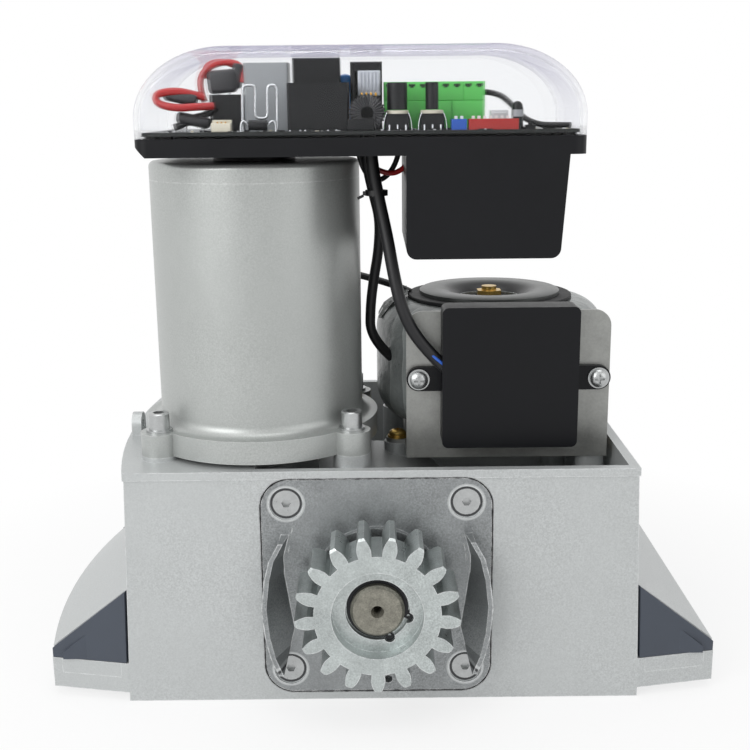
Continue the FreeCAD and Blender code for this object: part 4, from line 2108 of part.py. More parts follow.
def dip_switch(name, left, ways):
    """A switch block with one slot for each lever."""
    length = s.dip_pitch * ways + s.dip_margin * 2
    owner = moulded(name + "_moulding", left, s.dip_row, length, s.dip_width, s.dip_height,
                    s.relay_edge / 4)
    cuts = sketch(owner, name + "_slots", "XY_Plane", s.dip_height)
    slot_reach = s.dip_slot_length / 2
    slot_side = s.dip_lever_width / 2 + s.dip_slot_gap
    for number in range(ways):
        middle_x = s.dip_margin + s.dip_pitch * (number + 0.5)
        middle_y = s.dip_width / 2
        outline(cuts, [
            (middle_x - slot_side, middle_y - slot_reach), (middle_x + slot_side, middle_y - slot_reach),
            (middle_x + slot_side, middle_y + slot_reach), (middle_x - slot_side, middle_y + slot_reach),
        ])
    pocket(owner, cuts, s.dip_slot_depth)
    return node(owner, name)


dip_switch_blue = dip_switch("dip_switch_blue", s.dip_blue_left, 2)
dip_switch_red = dip_switch("dip_switch_red", s.dip_red_left, 8)
lever_places = [s.dip_blue_left + s.dip_margin + s.dip_pitch * (number + 0.5) for number in range(2)]
lever_places += [s.dip_red_left + s.dip_margin + s.dip_pitch * (number + 0.5) for number in range(8)]
for number, across in enumerate(lever_places, start=1):
    name = "dip_lever_" + str(number).zfill(2)
    lever_front = s.dip_row + s.dip_width / 2 - s.dip_slot_length / 2 + s.dip_slot_gap
    node(box(name + "_peg", s.dip_lever_width, s.dip_lever_length, s.dip_lever_height,
             (across - s.dip_lever_width / 2, lever_front,
              board_top + s.dip_height - s.dip_slot_depth + s.dip_slot_gap)), name)

tact = moulded("tact_moulding", s.tact_left, s.tact_row, s.tact_side, s.tact_side, s.tact_height,
               s.relay_edge / 4)
tact_well = sketch(tact, "tact_well", "XY_Plane", s.tact_height)
disc(tact_well, s.tact_side / 2, s.tact_side / 2, s.tact_button_radius + s.knob_gap)
pocket(tact, tact_well, s.tact_well_depth)
tact_switch = node(tact, "tact_switch")
tact_button = node(cylinder("tact_plunger", s.tact_button_radius, s.tact_button_height,
                            (s.tact_left + s.tact_side / 2, s.tact_row + s.tact_side / 2,
                             board_top + s.tact_height - s.tact_well_depth + s.knob_gap)), "tact_button")


# Cables

transformer_cable = tube("transformer_cable", [
    (-4, -47.5, 270.6), (-3, -48, 256), (0, -49, 240), (4, -52.5, 222), (7, -57, 204), (11, -60, 187),
    (19.5, -60.5, 171.5), (31.2, -60.5, 160),
], s.sheath_radius)
primary_lead = tube("primary_lead", [
    (-6, -41.5, 270.6), (-5.5, -39.5, 256), (-2.5, -34, 242), (0.8, -27, 228), (0, -21, 212),
    (-2.5, -18.5, 198), (-4.5, -17.5, 183), (-4.8, -16.8, 166), (6.2, -11.2, 154.5),
], s.lead_radius)
antenna_wire = tube("antenna_wire", [
    (48.8, -55, 288.5), (55, -56.5, 288), (61, -60, 283), (65.5, -64.5, 277), (72, -68.5, 273.9),
    (79.5, -70.5, 273.6), (86.5, -70.5, 273.6),
], s.antenna_radius)


# Finish: every feature has to have worked before the pieces are written out

SMALLEST_CUT = 1.0
doc.recompute()
for item in doc.Objects:
    if "Invalid" in item.State or "Error" in item.State:
        raise RuntimeError(item.Name + " did not compute")
for feature in cutting_features:
    removed = feature.BaseFeature.Shape.Volume - feature.Shape.Volume
    if removed < SMALLEST_CUT:
        raise RuntimeError(feature.Name + " removes nothing")
os.makedirs("parts", exist_ok=True)
for item in nodes:
    if item.Shape.isNull() or not item.Shape.isValid():
        raise RuntimeError(item.Label + " is not a valid solid")
    item.Shape.exportStep("parts/" + item.Label + ".step")
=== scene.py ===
"""Looks of a sliding gate motor: studio, finishes and the small parts on and round its board."""

import math
import random
from typing import NamedTuple

import bmesh
import bpy
from bpy.props import FloatProperty, FloatVectorProperty, PointerProperty
from mathutils import Matrix, Vector


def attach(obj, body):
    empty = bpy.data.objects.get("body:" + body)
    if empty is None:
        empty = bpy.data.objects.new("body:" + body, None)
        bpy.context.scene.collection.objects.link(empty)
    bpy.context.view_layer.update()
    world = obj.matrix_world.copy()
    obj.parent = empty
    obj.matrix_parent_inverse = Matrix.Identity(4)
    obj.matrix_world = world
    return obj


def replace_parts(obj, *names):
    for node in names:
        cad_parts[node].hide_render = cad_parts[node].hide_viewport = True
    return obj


bl_info = {
    "name": "Sliding gate motor",
    "version": (1, 0, 0),
    "blender": (4, 5, 0),
    "location": "3D View > Sidebar > Gate motor",
    "description": "Dresses the gate motor and sets up its studio",
    "category": "Object",
}

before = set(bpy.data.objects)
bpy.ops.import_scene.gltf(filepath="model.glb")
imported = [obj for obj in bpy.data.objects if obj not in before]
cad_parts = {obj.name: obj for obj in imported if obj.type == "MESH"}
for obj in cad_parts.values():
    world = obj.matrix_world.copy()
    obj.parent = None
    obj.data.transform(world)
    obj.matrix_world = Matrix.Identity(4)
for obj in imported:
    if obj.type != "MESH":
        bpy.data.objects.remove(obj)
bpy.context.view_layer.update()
MM = 0.001
TOROID_CENTRE = (59.7, 15.5, 150.0)
COIL_CENTRE = (-4.8, -74.5, 279.8)
BOARD_TOP = 272.2
PLATE_CENTRE = (-2.5, 58.9)
PLATE_HALF = 54.5
PLATE_CORNER = 14.0
PLATE_SCREWS = 42.5
PLATE_FRONT = -87.5


def tint(red, green, blue):
    """A colour picked on a screen, from 0 to 255, as Blender's linear numbers."""
    return tuple((v / 255 / 12.92) if v <= 10 else (((v / 255) + 0.055) / 1.055) ** 2.4
                 for v in (red, green, blue))


def colour(label, red, green, blue):
    """A colour property with its screen values as the default."""
    return FloatVectorProperty(name=label, description="Colour of the " + label.lower(), subtype="COLOR",
                               size=3, min=0, max=1, default=tint(red, green, blue))


def lamp_power(label, place, default):
    """A property for the power of a lamp."""
    return FloatProperty(name=label, description="Power of the %s softbox" % place, unit="POWER",
                         default=default)


class GateMotorColours(bpy.types.PropertyGroup):
    """Colours that a user would change."""
    casting: colour("Cast housing", 186, 189, 189)
    motor: colour("Motor housing", 172, 175, 173)
    flange: colour("Output flange", 144, 147, 148)
    zinc: colour("Zinc plate", 180, 186, 185)
    trim: colour("Bolt covers", 68, 74, 84)
    black: colour("Black plastic", 9, 10, 14)
    steel: colour("Bracket steel", 150, 151, 148)
    tape: colour("Transformer tape", 150, 155, 154)
    terminal: colour("Terminal block", 98, 204, 98)
    red_switch: colour("Red switch", 168, 44, 40)
    blue_switch: colour("Blue switch", 38, 86, 176)
    copper: colour("Copper", 186, 104, 62)
    brass: colour("Brass", 196, 164, 92)


class GateMotorStudio(bpy.types.PropertyGroup):
    """Camera and light values."""
    lens: FloatProperty(name="Lens", description="Focal length", default=53.3, min=10, max=300)
    tilt: FloatProperty(name="Tilt", description="How far the camera looks down", subtype="ANGLE",
                        default=math.radians(13.66))
    roll: FloatProperty(name="Roll", description="Turn about the line of sight", subtype="ANGLE",
                        default=math.radians(-0.6))
    distance: FloatProperty(name="Distance", description="From the origin to the camera along the floor",
                            unit="LENGTH", default=0.5801)
    height: FloatProperty(name="Height", description="Camera above the floor", unit="LENGTH",
                          default=0.2831)
    key: lamp_power("Key light", "left", 10)
    fill: lamp_power("Fill light", "right", 2.2)
    top: lamp_power("Top light", "overhead", 6)
    ambient: FloatProperty(name="Ambient", description="Strength of the soft surrounding light",
                           default=0.4)


def colours():
    """The colours in use."""
    return bpy.context.scene.gate_motor_colours


def studio():
    """The camera and light values in use."""
    return bpy.context.scene.gate_motor_studio


class Sum:
    """A shader value or colour that sums can be written with."""

    def __init__(self, tree, socket):
        self.tree, self.socket = tree, socket

    def maths(self, operation, other=0.0, clamp=False):
        """The result of one sum with another value."""
        return add(self.tree, "Math", {"operation": operation, "use_clamp": clamp}, i0=self, i1=other)[0]

    def __add__(self, other):
        return self.maths("ADD", other)

    def __sub__(self, other):
        return self.maths("SUBTRACT", other)

    def __mul__(self, other):
        return self.maths("MULTIPLY", other)

    def __abs__(self):
        return self.maths("ABSOLUTE")

    def spread(self, low, high, to_low=0.0, to_high=1.0):
        """The value moved from one range to another and held inside it."""
        return add(self.tree, "MapRange", Value=self, From_Min=low, From_Max=high, To_Min=to_low,
                   To_Max=to_high)[0]

    def over(self, base, shade):
        """A colour laid over another, with this value as its share."""
        return add(self.tree, "Mix", {"data_type": "RGBA"}, i0=self, i6=base, i7=shade)[2]

    def length(self):
        """The length of a vector."""
        return add(self.tree, "VectorMath", {"operation": "LENGTH"}, i0=self)["Value"]

    def parts(self):
        """The X, Y and Z of a vector."""
        return add(self.tree, "SeparateXYZ", Vector=self)

    def to(self, socket):
        """Links the value to an input."""
        self.tree.links.new(self.socket, socket)


class Results:
    """The outputs of a node, by number or name."""

    def __init__(self, tree, node):
        self.tree, self.node = tree, node

    def __getitem__(self, key):
        return Sum(self.tree, self.node.outputs[key])


def add(tree, kind, settings=None, **values):
    """Adds a shader node with its settings and its input values or links, and gives its outputs."""
    made = tree.nodes.new("ShaderNode" + kind)
    for key, value in (settings or {}).items():
        setattr(made, key, value)
    fill(made, **values)
    return Results(tree, made)


def fill(made, **values):
    """Links or sets a node's inputs, by name or by number."""
    for key, value in values.items():
        numbered = key[0] == "i" and key[1:].isdigit()
        socket = made.inputs[int(key[1:]) if numbered else key.replace("_", " ")]
        if isinstance(value, Sum):
            value.to(socket)
        else:
            socket.default_value = value


def effect(name, **inputs):
    """An empty shader group with float inputs and one output, and its two ends."""
    tree = bpy.data.node_groups.new(name, "ShaderNodeTree")
    for label, value in inputs.items():
        tree.interface.new_socket(label, in_out="INPUT", socket_type="NodeSocketFloat").default_value = value
    tree.interface.new_socket("Result", in_out="OUTPUT", socket_type="NodeSocketFloat")
    given = Results(tree, tree.nodes.new("NodeGroupInput"))
    return tree, given, tree.nodes.new("NodeGroupOutput").inputs[0]


def object_place(tree):
    """The place on a piece, in metres."""
    return add(tree, "TexCoord")["Object"]


def place_from(tree, centre):
    """The place on a piece, measured from a point in millimetres."""
    return add(tree, "Mapping", {"vector_type": "POINT"}, Vector=object_place(tree),
               Location=tuple(-v * MM for v in centre))[0]


def noise(place, **values):
    """Soft noise from 0 to 1 at a place."""
    return add(place.tree, "TexNoise", Vector=place, **values)["Fac"]


def tone_effect():
    """Cloudy unevenness, as on cast, painted or plated metal."""
    broad_share, fine_share, fine_scale, gain = 0.62, 0.38, 6.0, 3.0
    tree, given, out = effect("uneven tone", Scale=40.0, Contrast=1.0)
    place = object_place(tree)
    broad = noise(place, Scale=given["Scale"], Detail=4.0, Roughness=0.6)
    fine = noise(place, Scale=given["Scale"] * fine_scale, Detail=3.0, Roughness=0.65)
    centred = (broad * broad_share + fine * fine_share - 0.5) * given["Contrast"]
    (centred * gain).maths("ADD", 0.5, True).to(out)
    return tree


def grain_effect():
    """The fine roughness and pits of a sand casting or a thick paint."""
    pit_scale, pit_edge = 0.4, 0.35
    tree, given, out = effect("cast grain", Scale=1500.0, Pits=0.3)
    place = object_place(tree)
    grain = noise(place, Scale=given["Scale"], Detail=3.0, Roughness=0.6)
    cells = add(tree, "TexVoronoi", Vector=place, Scale=given["Scale"] * pit_scale)["Distance"]
    (grain + cells.spread(0.0, pit_edge) * given["Pits"]).to(out)
    return tree


def wear_and_highlight_effect():
    """Where an outer edge is made bright: partly rubbed wear and partly a painted highlight along the edge.
    """
    still_flat, fully_bright = 0.97, 0.75
    bright_from, bright_to = 0.3, 0.6
    tree, given, out = effect("edge wear", Width=0.0008, Amount=0.6)
    soft = add(tree, "Bevel", {"samples": 4}, Radius=given["Width"])[0]
    face = add(tree, "NewGeometry")["Normal"]
    match = add(tree, "VectorMath", {"operation": "DOT_PRODUCT"}, i0=soft, i1=face)["Value"]
    broken = noise(object_place(tree), Scale=300.0, Detail=3.0)
    worn_and_highlit = match.spread(still_flat, fully_bright) * broken.spread(bright_from, bright_to)
    worn_and_highlit.maths("MULTIPLY", given["Amount"], True).to(out)
    return tree


def flake_effect():
    """Bright and dark flakes of a metallic paint or a blasted casting."""
    contrast, calm, lively = 3.2, 0.5, 1.3
    calm_below, lively_above = 0.35, 0.65
    tree, given, out = effect("metal flakes", Scale=1400.0, Amount=0.2)
    place = object_place(tree)
    fine = noise(place, Scale=given["Scale"], Detail=1.0)
    drift = noise(place, Scale=22.0, Detail=2.0)
    local = drift.spread(calm_below, lively_above, calm, lively) * given["Amount"]
    ((fine - 0.5) * contrast * local + 1.0).to(out)
    return tree


EFFECTS = {"tone": tone_effect, "flakes": flake_effect, "grain": grain_effect, "wear": wear_and_highlight_effect}
made_effects = {}
made_finishes = {}


def use(tree, name, **values):
    """A shared effect placed in a material with this material's own values."""
    if name not in made_effects:
        made_effects[name] = EFFECTS[name]()
    return add(tree, "Group", {"node_tree": made_effects[name]}, **values)[0]


def solid(shade):
    """A colour with its opacity."""
    return (shade[0], shade[1], shade[2], 1.0)


def dimmed(shade, factor):
    """A colour made darker or lighter."""
    return solid([min(1.0, v * factor) for v in shade])


def new_material(name):
    """A material with its node tree and its main shader."""
    made = bpy.data.materials.new(name)
    made.use_nodes = True
    return made, made.node_tree, made.node_tree.nodes["Principled BSDF"]


def rough_surface(tree, shader, uneven, gloss_range, grain_scale, grain_height, pits):
    """Gives a shader uneven gloss and a fine relief."""
    height = use(tree, "grain", Scale=float(grain_scale), Pits=pits)
    fill(shader, Roughness=uneven.spread(0.0, 1.0, *gloss_range),
         Normal=add(tree, "Bump", Strength=1.0, Distance=grain_height, Height=height)[0])


def blend_shaders(tree, share, shader, other):
    """Shows a share of a second shader in place of the main one."""
    both = add(tree, "MixShader", i0=share, i1=Sum(tree, shader.outputs[0]), i2=other)[0]
    both.to(tree.nodes["Material Output"].inputs["Surface"])


def spot(tree, centre):
    """How far across and up a place lies from a point on the face that looks at the gate."""
    parts = place_from(tree, (centre[0], 0.0, centre[1])).parts()
    return parts["X"], parts["Z"]


def corner_distance(sides):
    """The distance of a place whose two sides are known."""
    return (sides[0] * sides[0] + sides[1] * sides[1]).maths("SQRT")


def band(distance, middle, half):
    """One inside a band about a distance and none outside it."""
    return abs(distance - middle * MM).spread(half * MM, half * 0.5 * MM)


def plate_gap_shade(tree, base):
    """Painted shade: a near-black band where the square plate sits in the housing, standing for the shade in
    the gap, on the front only.
    """
    gap_shade_middle, gap_shade_half, gap_shade_share, front_depth = PLATE_CORNER + 0.25, 0.75, 0.9, -80
    straight = (PLATE_HALF - PLATE_CORNER) * MM
    sides = [(abs(v) - straight).maths("MAXIMUM", 0.0) for v in spot(tree, PLATE_CENTRE)]
    gap_shade = band(corner_distance(sides), gap_shade_middle, gap_shade_half)
    front = object_place(tree).parts()["Y"].maths("LESS_THAN", front_depth * MM)
    return (gap_shade * front * gap_shade_share).over(base, (0.02, 0.02, 0.022, 1.0))


def screw_sink_shade(tree, base):
    """Painted shade: a dark line in each countersink, and a bright ring about it."""
    ring_radius, ring_half, ring_share = 8.4, 0.9, 0.5
    shade_line_radius, shade_line_half, shade_line_share = 6.9, 0.8, 0.9
    distance = corner_distance([abs(v) - PLATE_SCREWS * MM for v in spot(tree, PLATE_CENTRE)])
    ring = band(distance, ring_radius, ring_half) * ring_share
    # The line is the painted shade in the countersink
    line = band(distance, shade_line_radius, shade_line_half) * shade_line_share
    return line.over(ring.over(base, (0.7, 0.72, 0.72, 1.0)), (0.03, 0.03, 0.032, 1.0))


def flange_shading(tree, base):
    """Painted shade in the plate's outer gap and in its screw sinks, with a bright ring about each sink."""
    return plate_gap_shade(tree, screw_sink_shade(tree, base))


def around(here, second_axis):
    """The angle of a place from X towards a second axis, from -pi to pi."""
    parts = here.parts()
    return parts[second_axis].maths("ARCTAN2", parts["X"])


def turns_of_tape(tree, base):
    """Overlapping turns of tape round the ring, each with a pale edge."""
    turns_per_radian, wander = 5.1, 1.4
    edge_width, edge_share, shade_share = 0.06, 0.55, 0.5
    here = place_from(tree, TOROID_CENTRE)
    wobble = noise(here, Scale=18.0, Detail=2.0)
    part = (around(here, "Y") * turns_per_radian + wobble * wander).maths("FRACT")
    edge = part.spread(0.0, edge_width, 1.0, 0.0).maths("MULTIPLY", edge_share, True)
    banded = part.spread(0.0, 1.0, 0.0, shade_share).over(base, (0.055, 0.062, 0.062, 1.0))
    return edge.over(banded, (0.55, 0.57, 0.56, 1.0))


def windings(tree, base):
    """Radial turns of wire round the small choke."""
    waves, dark_from, dark_share = 34.0, 0.2, 0.9
    wave = (around(place_from(tree, COIL_CENTRE), "Z") * waves).maths("SINE")
    return wave.spread(dark_from, 1.0, 0.0, dark_share).over(base, (0.13, 0.13, 0.14, 1.0))


def pale_relay(tree, base):
    """The second relay's grey case among the black ones."""
    left, right = -0.0603, -0.0401
    across = object_place(tree).parts()["X"]
    inside = across.maths("GREATER_THAN", left) * across.maths("LESS_THAN", right)
    return inside.over(base, solid(tint(158, 161, 164)))


def dark_middle(tree, base):
    """The washer's sunk middle, in shade."""
    rim_radius, shade_radius = 0.0275, 0.0215
    here = place_from(tree, (TOROID_CENTRE[0], TOROID_CENTRE[1], 0.0))
    flat = add(tree, "VectorMath", {"operation": "MULTIPLY"}, i0=here, i1=(1.0, 1.0, 0.0))[0]
    return flat.length().spread(rim_radius, shade_radius).over(base, (0.012, 0.012, 0.013, 1.0))


class Look(NamedTuple):
    """One finish.

    The shade is a colour property's name or screen values. Tone is a scale and a share of lightness, grain a
    scale and a height in metres, and the bright edges, partly rubbed wear and partly a painted highlight, a
    width in metres, an amount and screen values.
    """
    shade: object
    roughness: float = 0.45
    metallic: float = 0.0
    specular: float = 0.5
    tone: tuple = (40, 0.1)
    grain: tuple = (1500, 0.00003)
    pits: float = 0.3
    flakes: float = 0.0
    wear: tuple = None
    paint: object = None


LOOKS = {
    "silver cast paint": Look("casting", 0.4, 0.35, tone=(18, 0.025), grain=(1800, 0.00005), flakes=0.13,
                              wear=(0.0009, 0.8, (240, 242, 242)), paint=plate_gap_shade),
    "cast flange": Look("flange", 0.4, 0.7, tone=(60, 0.12), grain=(1300, 0.00006), flakes=0.28,
                        wear=(0.001, 1.0, (240, 242, 242)), paint=flange_shading),
    "silver motor paint": Look("motor", 0.36, 0.45, tone=(18, 0.03), grain=(2200, 0.00004), flakes=0.12,
                               wear=(0.0008, 0.5, (232, 234, 233))),
    "zinc plate": Look("zinc", 0.3, 0.85, tone=(90, 0.14), grain=(1100, 0.00008), flakes=0.2,
                       wear=(0.0008, 0.9, (246, 247, 247))),
    "plated screw": Look((178, 180, 180), 0.3, 0.9, tone=(200, 0.12), grain=(2400, 0.00002),
                         wear=(0.0003, 0.5, (230, 230, 230))),
    "ground steel": Look((150, 150, 148), 0.32, 0.9, tone=(160, 0.1), grain=(2400, 0.00002)),
    "turned shaft": Look((132, 130, 120), 0.4, 0.7, tone=(260, 0.3), grain=(1800, 0.00004), flakes=0.2),
    "pressed washer": Look((84, 86, 85), 0.34, 0.5, flakes=0.1, paint=dark_middle),
    "galvanised sheet": Look("steel", 0.34, 0.6, tone=(120, 0.14), grain=(1700, 0.00002)),
    "stacked sheet": Look((104, 104, 106), 0.45, 0.8, grain=(1200, 0.00004)),
    "black oxide": Look((34, 35, 38), 0.4, 0.5, grain=(2000, 0.00002)),
    "bronze": Look((178, 132, 78), 0.38, 0.9, grain=(1600, 0.00003)),
    "brass": Look("brass", 0.3, 0.95, tone=(150, 0.12), grain=(2000, 0.00002)),
    "gilt contact": Look((214, 168, 84), 0.25, 0.9),
    "copper wire": Look("copper", 0.35, 0.9, grain=(900, 0.00006)),
    "tinned wire": Look((190, 192, 194), 0.25, 0.95, grain=(2000, 0.00001)),
    "enamelled wire": Look((44, 44, 47), 0.28),
    "wound coil": Look((22, 22, 24), 0.4, grain=(700, 0.0002), paint=windings),
    "carbon": Look((52, 52, 54), 0.6, 0.2, grain=(1600, 0.00004)),
    "black rubber": Look((24, 24, 26), 0.6, specular=0.3),
    "black moulding": Look("black", 0.4, specular=0.22, tone=(50, 0.1), grain=(3000, 0.00002)),
    "blue grey moulding": Look("trim", 0.55, specular=0.4, tone=(60, 0.05), grain=(2600, 0.00004)),
    "green moulding": Look("terminal", 0.35, tone=(80, 0.05)),
    "blue moulding": Look("blue_switch", 0.35),
    "red moulding": Look("red_switch", 0.35),
    "white moulding": Look((232, 232, 230), 0.4, grain=(2000, 0.00001)),
    "cream moulding": Look((214, 208, 190), 0.4),
    "milky moulding": Look((206, 208, 210), 0.4),
    "clear plug": Look((196, 200, 208), 0.12, specular=0.6, tone=(200, 0.12), grain=(500, 0.00002)),
    "relay case": Look((16, 17, 19), 0.33, specular=0.3, grain=(1500, 0.00001)),
    "relay set": Look((16, 17, 19), 0.33, specular=0.3, grain=(1500, 0.00001), paint=pale_relay),
    # Painted shade for the terminal block's openings, a darkened copy of its green
    "port shade": Look((22, 50, 26), 0.6),
    "blue lacquer": Look((36, 120, 196), 0.25),
    "grey film": Look((150, 152, 156), 0.3),
    "solder mask": Look((20, 24, 23), 0.35, specular=0.4, tone=(200, 0.3), grain=(1500, 0.00004)),
    "black sheath": Look((28, 28, 30), 0.42, specular=0.35, grain=(900, 0.00002)),
    "red sheath": Look((176, 34, 36), 0.3, grain=(900, 0.00002)),
    "blue sheath": Look((40, 92, 190), 0.3),
    "soft boot": Look((40, 40, 43), 0.5, grain=(900, 0.00008)),
    "tie nylon": Look((24, 24, 26), 0.4),
    "wound tape": Look("tape", 0.3, specular=0.6, tone=(70, 0.2), grain=(240, 0.0005), pits=0.0,
                       paint=turns_of_tape),
    "tape film": Look((150, 154, 152), 0.22, specular=0.7, tone=(90, 0.3), grain=(300, 0.0005), pits=0.0),
}


def finish(name):
    """The material of a look, with uneven colour and gloss, surface grain and, where asked, edges made
    bright by rubbed wear and by a painted highlight.
    """
    if name in made_finishes:
        return made_finishes[name]
    smoothest, roughest = 0.88, 1.14
    look = LOOKS[name]
    shade = getattr(colours(), look.shade) if isinstance(look.shade, str) else tint(*look.shade)
    made, tree, shader = new_material(name)
    tone_scale, tone_share = look.tone
    uneven = use(tree, "tone", Scale=float(tone_scale), Contrast=1.0)
    base = uneven.over(dimmed(shade, 1 - tone_share), dimmed(shade, 1 + tone_share))
    if look.flakes:
        factor = use(tree, "flakes", Amount=look.flakes)
        base = add(tree, "VectorMath", {"operation": "SCALE"}, i0=base, Scale=factor)[0]
    if look.paint:
        base = look.paint(tree, base)
    # Bright edges: partly rubbed wear, partly a painted highlight where the edges catch the light
    if look.wear:
        width, amount, edge_colour = look.wear
        base = use(tree, "wear", Width=width, Amount=amount).over(base, solid(tint(*edge_colour)))
    fill(shader, Base_Color=base, Metallic=look.metallic, Specular_IOR_Level=look.specular)
    gloss_range = (look.roughness * smoothest, min(1.0, look.roughness * roughest))
    rough_surface(tree, shader, uneven, gloss_range, *look.grain, look.pits)
    made_finishes[name] = made
    return made


def clear_plastic():
    """Clear moulding that lets lamp light through to what it covers."""
    rim_start, rim_end, plain_share = 0.52, 0.86, 0.82
    made, tree, shader = new_material("clear moulding")
    fill(shader, Base_Color=(0.96, 0.965, 0.985, 1.0), Transmission_Weight=1.0, IOR=1.46)
    uneven = use(tree, "tone", Scale=30.0, Contrast=1.0)
    rough_surface(tree, shader, uneven, (0.015, 0.05), 60.0, 0.00004, 0.0)
    rim = add(tree, "LayerWeight", Blend=0.22)["Facing"].spread(rim_start, rim_end)
    shade = rim.over((0.975, 0.978, 0.982, 1.0), (0.3, 0.27, 0.46, 1.0))
    ray = add(tree, "LightPath")
    unseen = ray["Is Shadow Ray"].maths("MAXIMUM", ray["Is Diffuse Ray"])
    blend_shaders(tree, unseen.maths("MAXIMUM", plain_share), shader,
                  add(tree, "BsdfTransparent", Color=shade)[0])
    return made


def dress(made, *nodes):
    """Gives CAD nodes a material."""
    for node in nodes:
        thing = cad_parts[node]
        if thing.material_slots:
            for place in thing.material_slots:
                place.material = made
        else:
            thing.data.materials.append(made)


def show(name, data):
    """An object for some data, in the scene."""
    thing = bpy.data.objects.new(name, data)
    bpy.context.scene.collection.objects.link(thing)
    return thing


def add_piece(name, shape, look, smooth=None):
    """A finished mesh piece that rides on the base, with faces smooth up to an angle in degrees."""
    data = bpy.data.meshes.new(name)
    shape.to_mesh(data)
    shape.free()
    thing = show(name, data)
    data.materials.append(finish(look))
    if smooth is not None:
        data.shade_smooth()
        data.set_sharp_from_angle(angle=math.radians(smooth))
    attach(thing, "base")
    return thing


def build(name, look, slot, smooth, parts):
    """A piece from several parts, each a shape function with its values in millimetres."""
    shape = bmesh.new()
    for make, *values in parts:
        make(shape, *values)
    return add_piece(name, shape, look, smooth)


def block(shape, low, high, edge, lean=0.0, middle=None):
    """Adds a box with rounded edges, leaned by some degrees about Y round a point."""
    low, high = Vector(low) * MM, Vector(high) * MM
    corners = bmesh.ops.create_cube(shape, size=1.0)["verts"]
    bmesh.ops.scale(shape, vec=high - low, verts=corners)
    bmesh.ops.translate(shape, vec=(low + high) / 2, verts=corners)
    sides = list({e for v in corners for e in v.link_edges})
    cut = bmesh.ops.bevel(shape, geom=sides, offset=edge * MM, segments=3, profile=0.5, affect="EDGES")
    if lean:
        corners = list({v for f in cut["faces"] for v in f.verts} | {v for v in corners if v.is_valid})
        turn = Matrix.Rotation(math.radians(lean), 3, "Y")
        bmesh.ops.rotate(shape, cent=Vector(middle) * MM, matrix=turn, verts=corners)


def rod(shape, start, end, radius, segments):
    """Adds a round bar between two points."""
    start, end = Vector(start) * MM, Vector(end) * MM
    along = end - start
    turn = along.to_track_quat("Z", "Y").to_matrix().to_4x4()
    bmesh.ops.create_cone(shape, cap_ends=True, segments=segments, radius1=radius * MM, radius2=radius * MM,
                          depth=along.length, matrix=Matrix.Translation((start + end) / 2) @ turn)


def lathe(shape, profile, centre, segments, turn=None):
    """Adds a closed turned form from (radius, height) points."""
    rings = []
    centre = Vector(centre) * MM
    turn = turn or Matrix.Identity(3)
    for step in range(segments):
        angle = math.tau * step / segments
        ring = []
        for radius, height in profile:
            local = Vector((radius * math.cos(angle), radius * math.sin(angle), height)) * MM
            ring.append(shape.verts.new(centre + turn @ local))
        rings.append(ring)
    count = len(profile)
    for step in range(segments):
        this, following = rings[step], rings[(step + 1) % segments]
        for index in range(count):
            after = (index + 1) % count
            shape.faces.new((this[index], following[index], following[after], this[after]))
    bmesh.ops.remove_doubles(shape, verts=shape.verts, dist=1e-7)
    bmesh.ops.recalc_face_normals(shape, faces=shape.faces)


def bridge(shape, first, second):
    """Joins two loops of points with faces."""
    return [shape.faces.new((one, next_one, next_other, other)) for one, next_one, other, next_other in
            zip(first, first[1:] + first[:1], second, second[1:] + second[:1])]


def line_curve(name, points, radius, look):
    """A round wire along a smooth line through control points in millimetres."""
    data = bpy.data.curves.new(name, "CURVE")
    data.dimensions = "3D"
    data.bevel_depth = radius * MM
    data.bevel_resolution = 4
    data.resolution_u = 10
    data.use_fill_caps = True
    line = data.splines.new("NURBS")
    line.points.add(len(points) - 1)
    for point, place in zip(line.points, points):
        point.co = (*(Vector(place) * MM), 1.0)
    line.order_u = 3
    line.use_endpoint_u = True
    data.materials.append(finish(look))
    return show(name, data)


def lay_cord(name, points, radius, look, stands_for=None):
    """A cord whose two ends are in the motor."""
    cord = line_curve(name, points, radius, look)
    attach(cord, "base")
    if stands_for:
        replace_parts(cord, stands_for)


def settled_mesh(thing):
    """The mesh that an object ends up with. The object is removed."""
    bpy.context.view_layer.update()
    data = bpy.data.meshes.new_from_object(thing.evaluated_get(bpy.context.evaluated_depsgraph_get()))
    bpy.data.objects.remove(thing)
    return data


def wire(name, points, radius, look):
    """A short formed wire as a finished mesh."""
    thing = show(name, settled_mesh(line_curve(name + "_run", points, radius, look)))
    thing.data.shade_smooth()
    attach(thing, "base")


def lay_leads(rows):
    """Lays leads. One with a length is laid as a cord, and the others are formed wires."""
    for name, radius, length, look, points in rows:
        if length:
            lay_cord(name, points, radius, look)
        else:
            wire(name, points, radius, look)


class Step(bpy.types.Operator):
    """One step of dressing the gate motor."""
    bl_options = {"REGISTER", "UNDO"}


class GATEMOTOR_OT_camera(Step):
    """Places the camera at the photograph's view"""
    bl_idname = "gate_motor.camera"
    bl_label = "Camera"

    def execute(self, context):
        values = studio()
        data = bpy.data.cameras.new("camera")
        data.lens = values.lens
        data.sensor_width = 36
        data.clip_start = 0.01
        camera = show("camera", data)
        turn = Matrix.Rotation(math.pi / 2 - values.tilt, 4, "X") @ Matrix.Rotation(values.roll, 4, "Z")
        place = (PLATE_CENTRE[0] * MM, -values.distance, values.height)
        camera.matrix_world = Matrix.Translation(place) @ turn
        bpy.context.scene.camera = camera
        return {"FINISHED"}


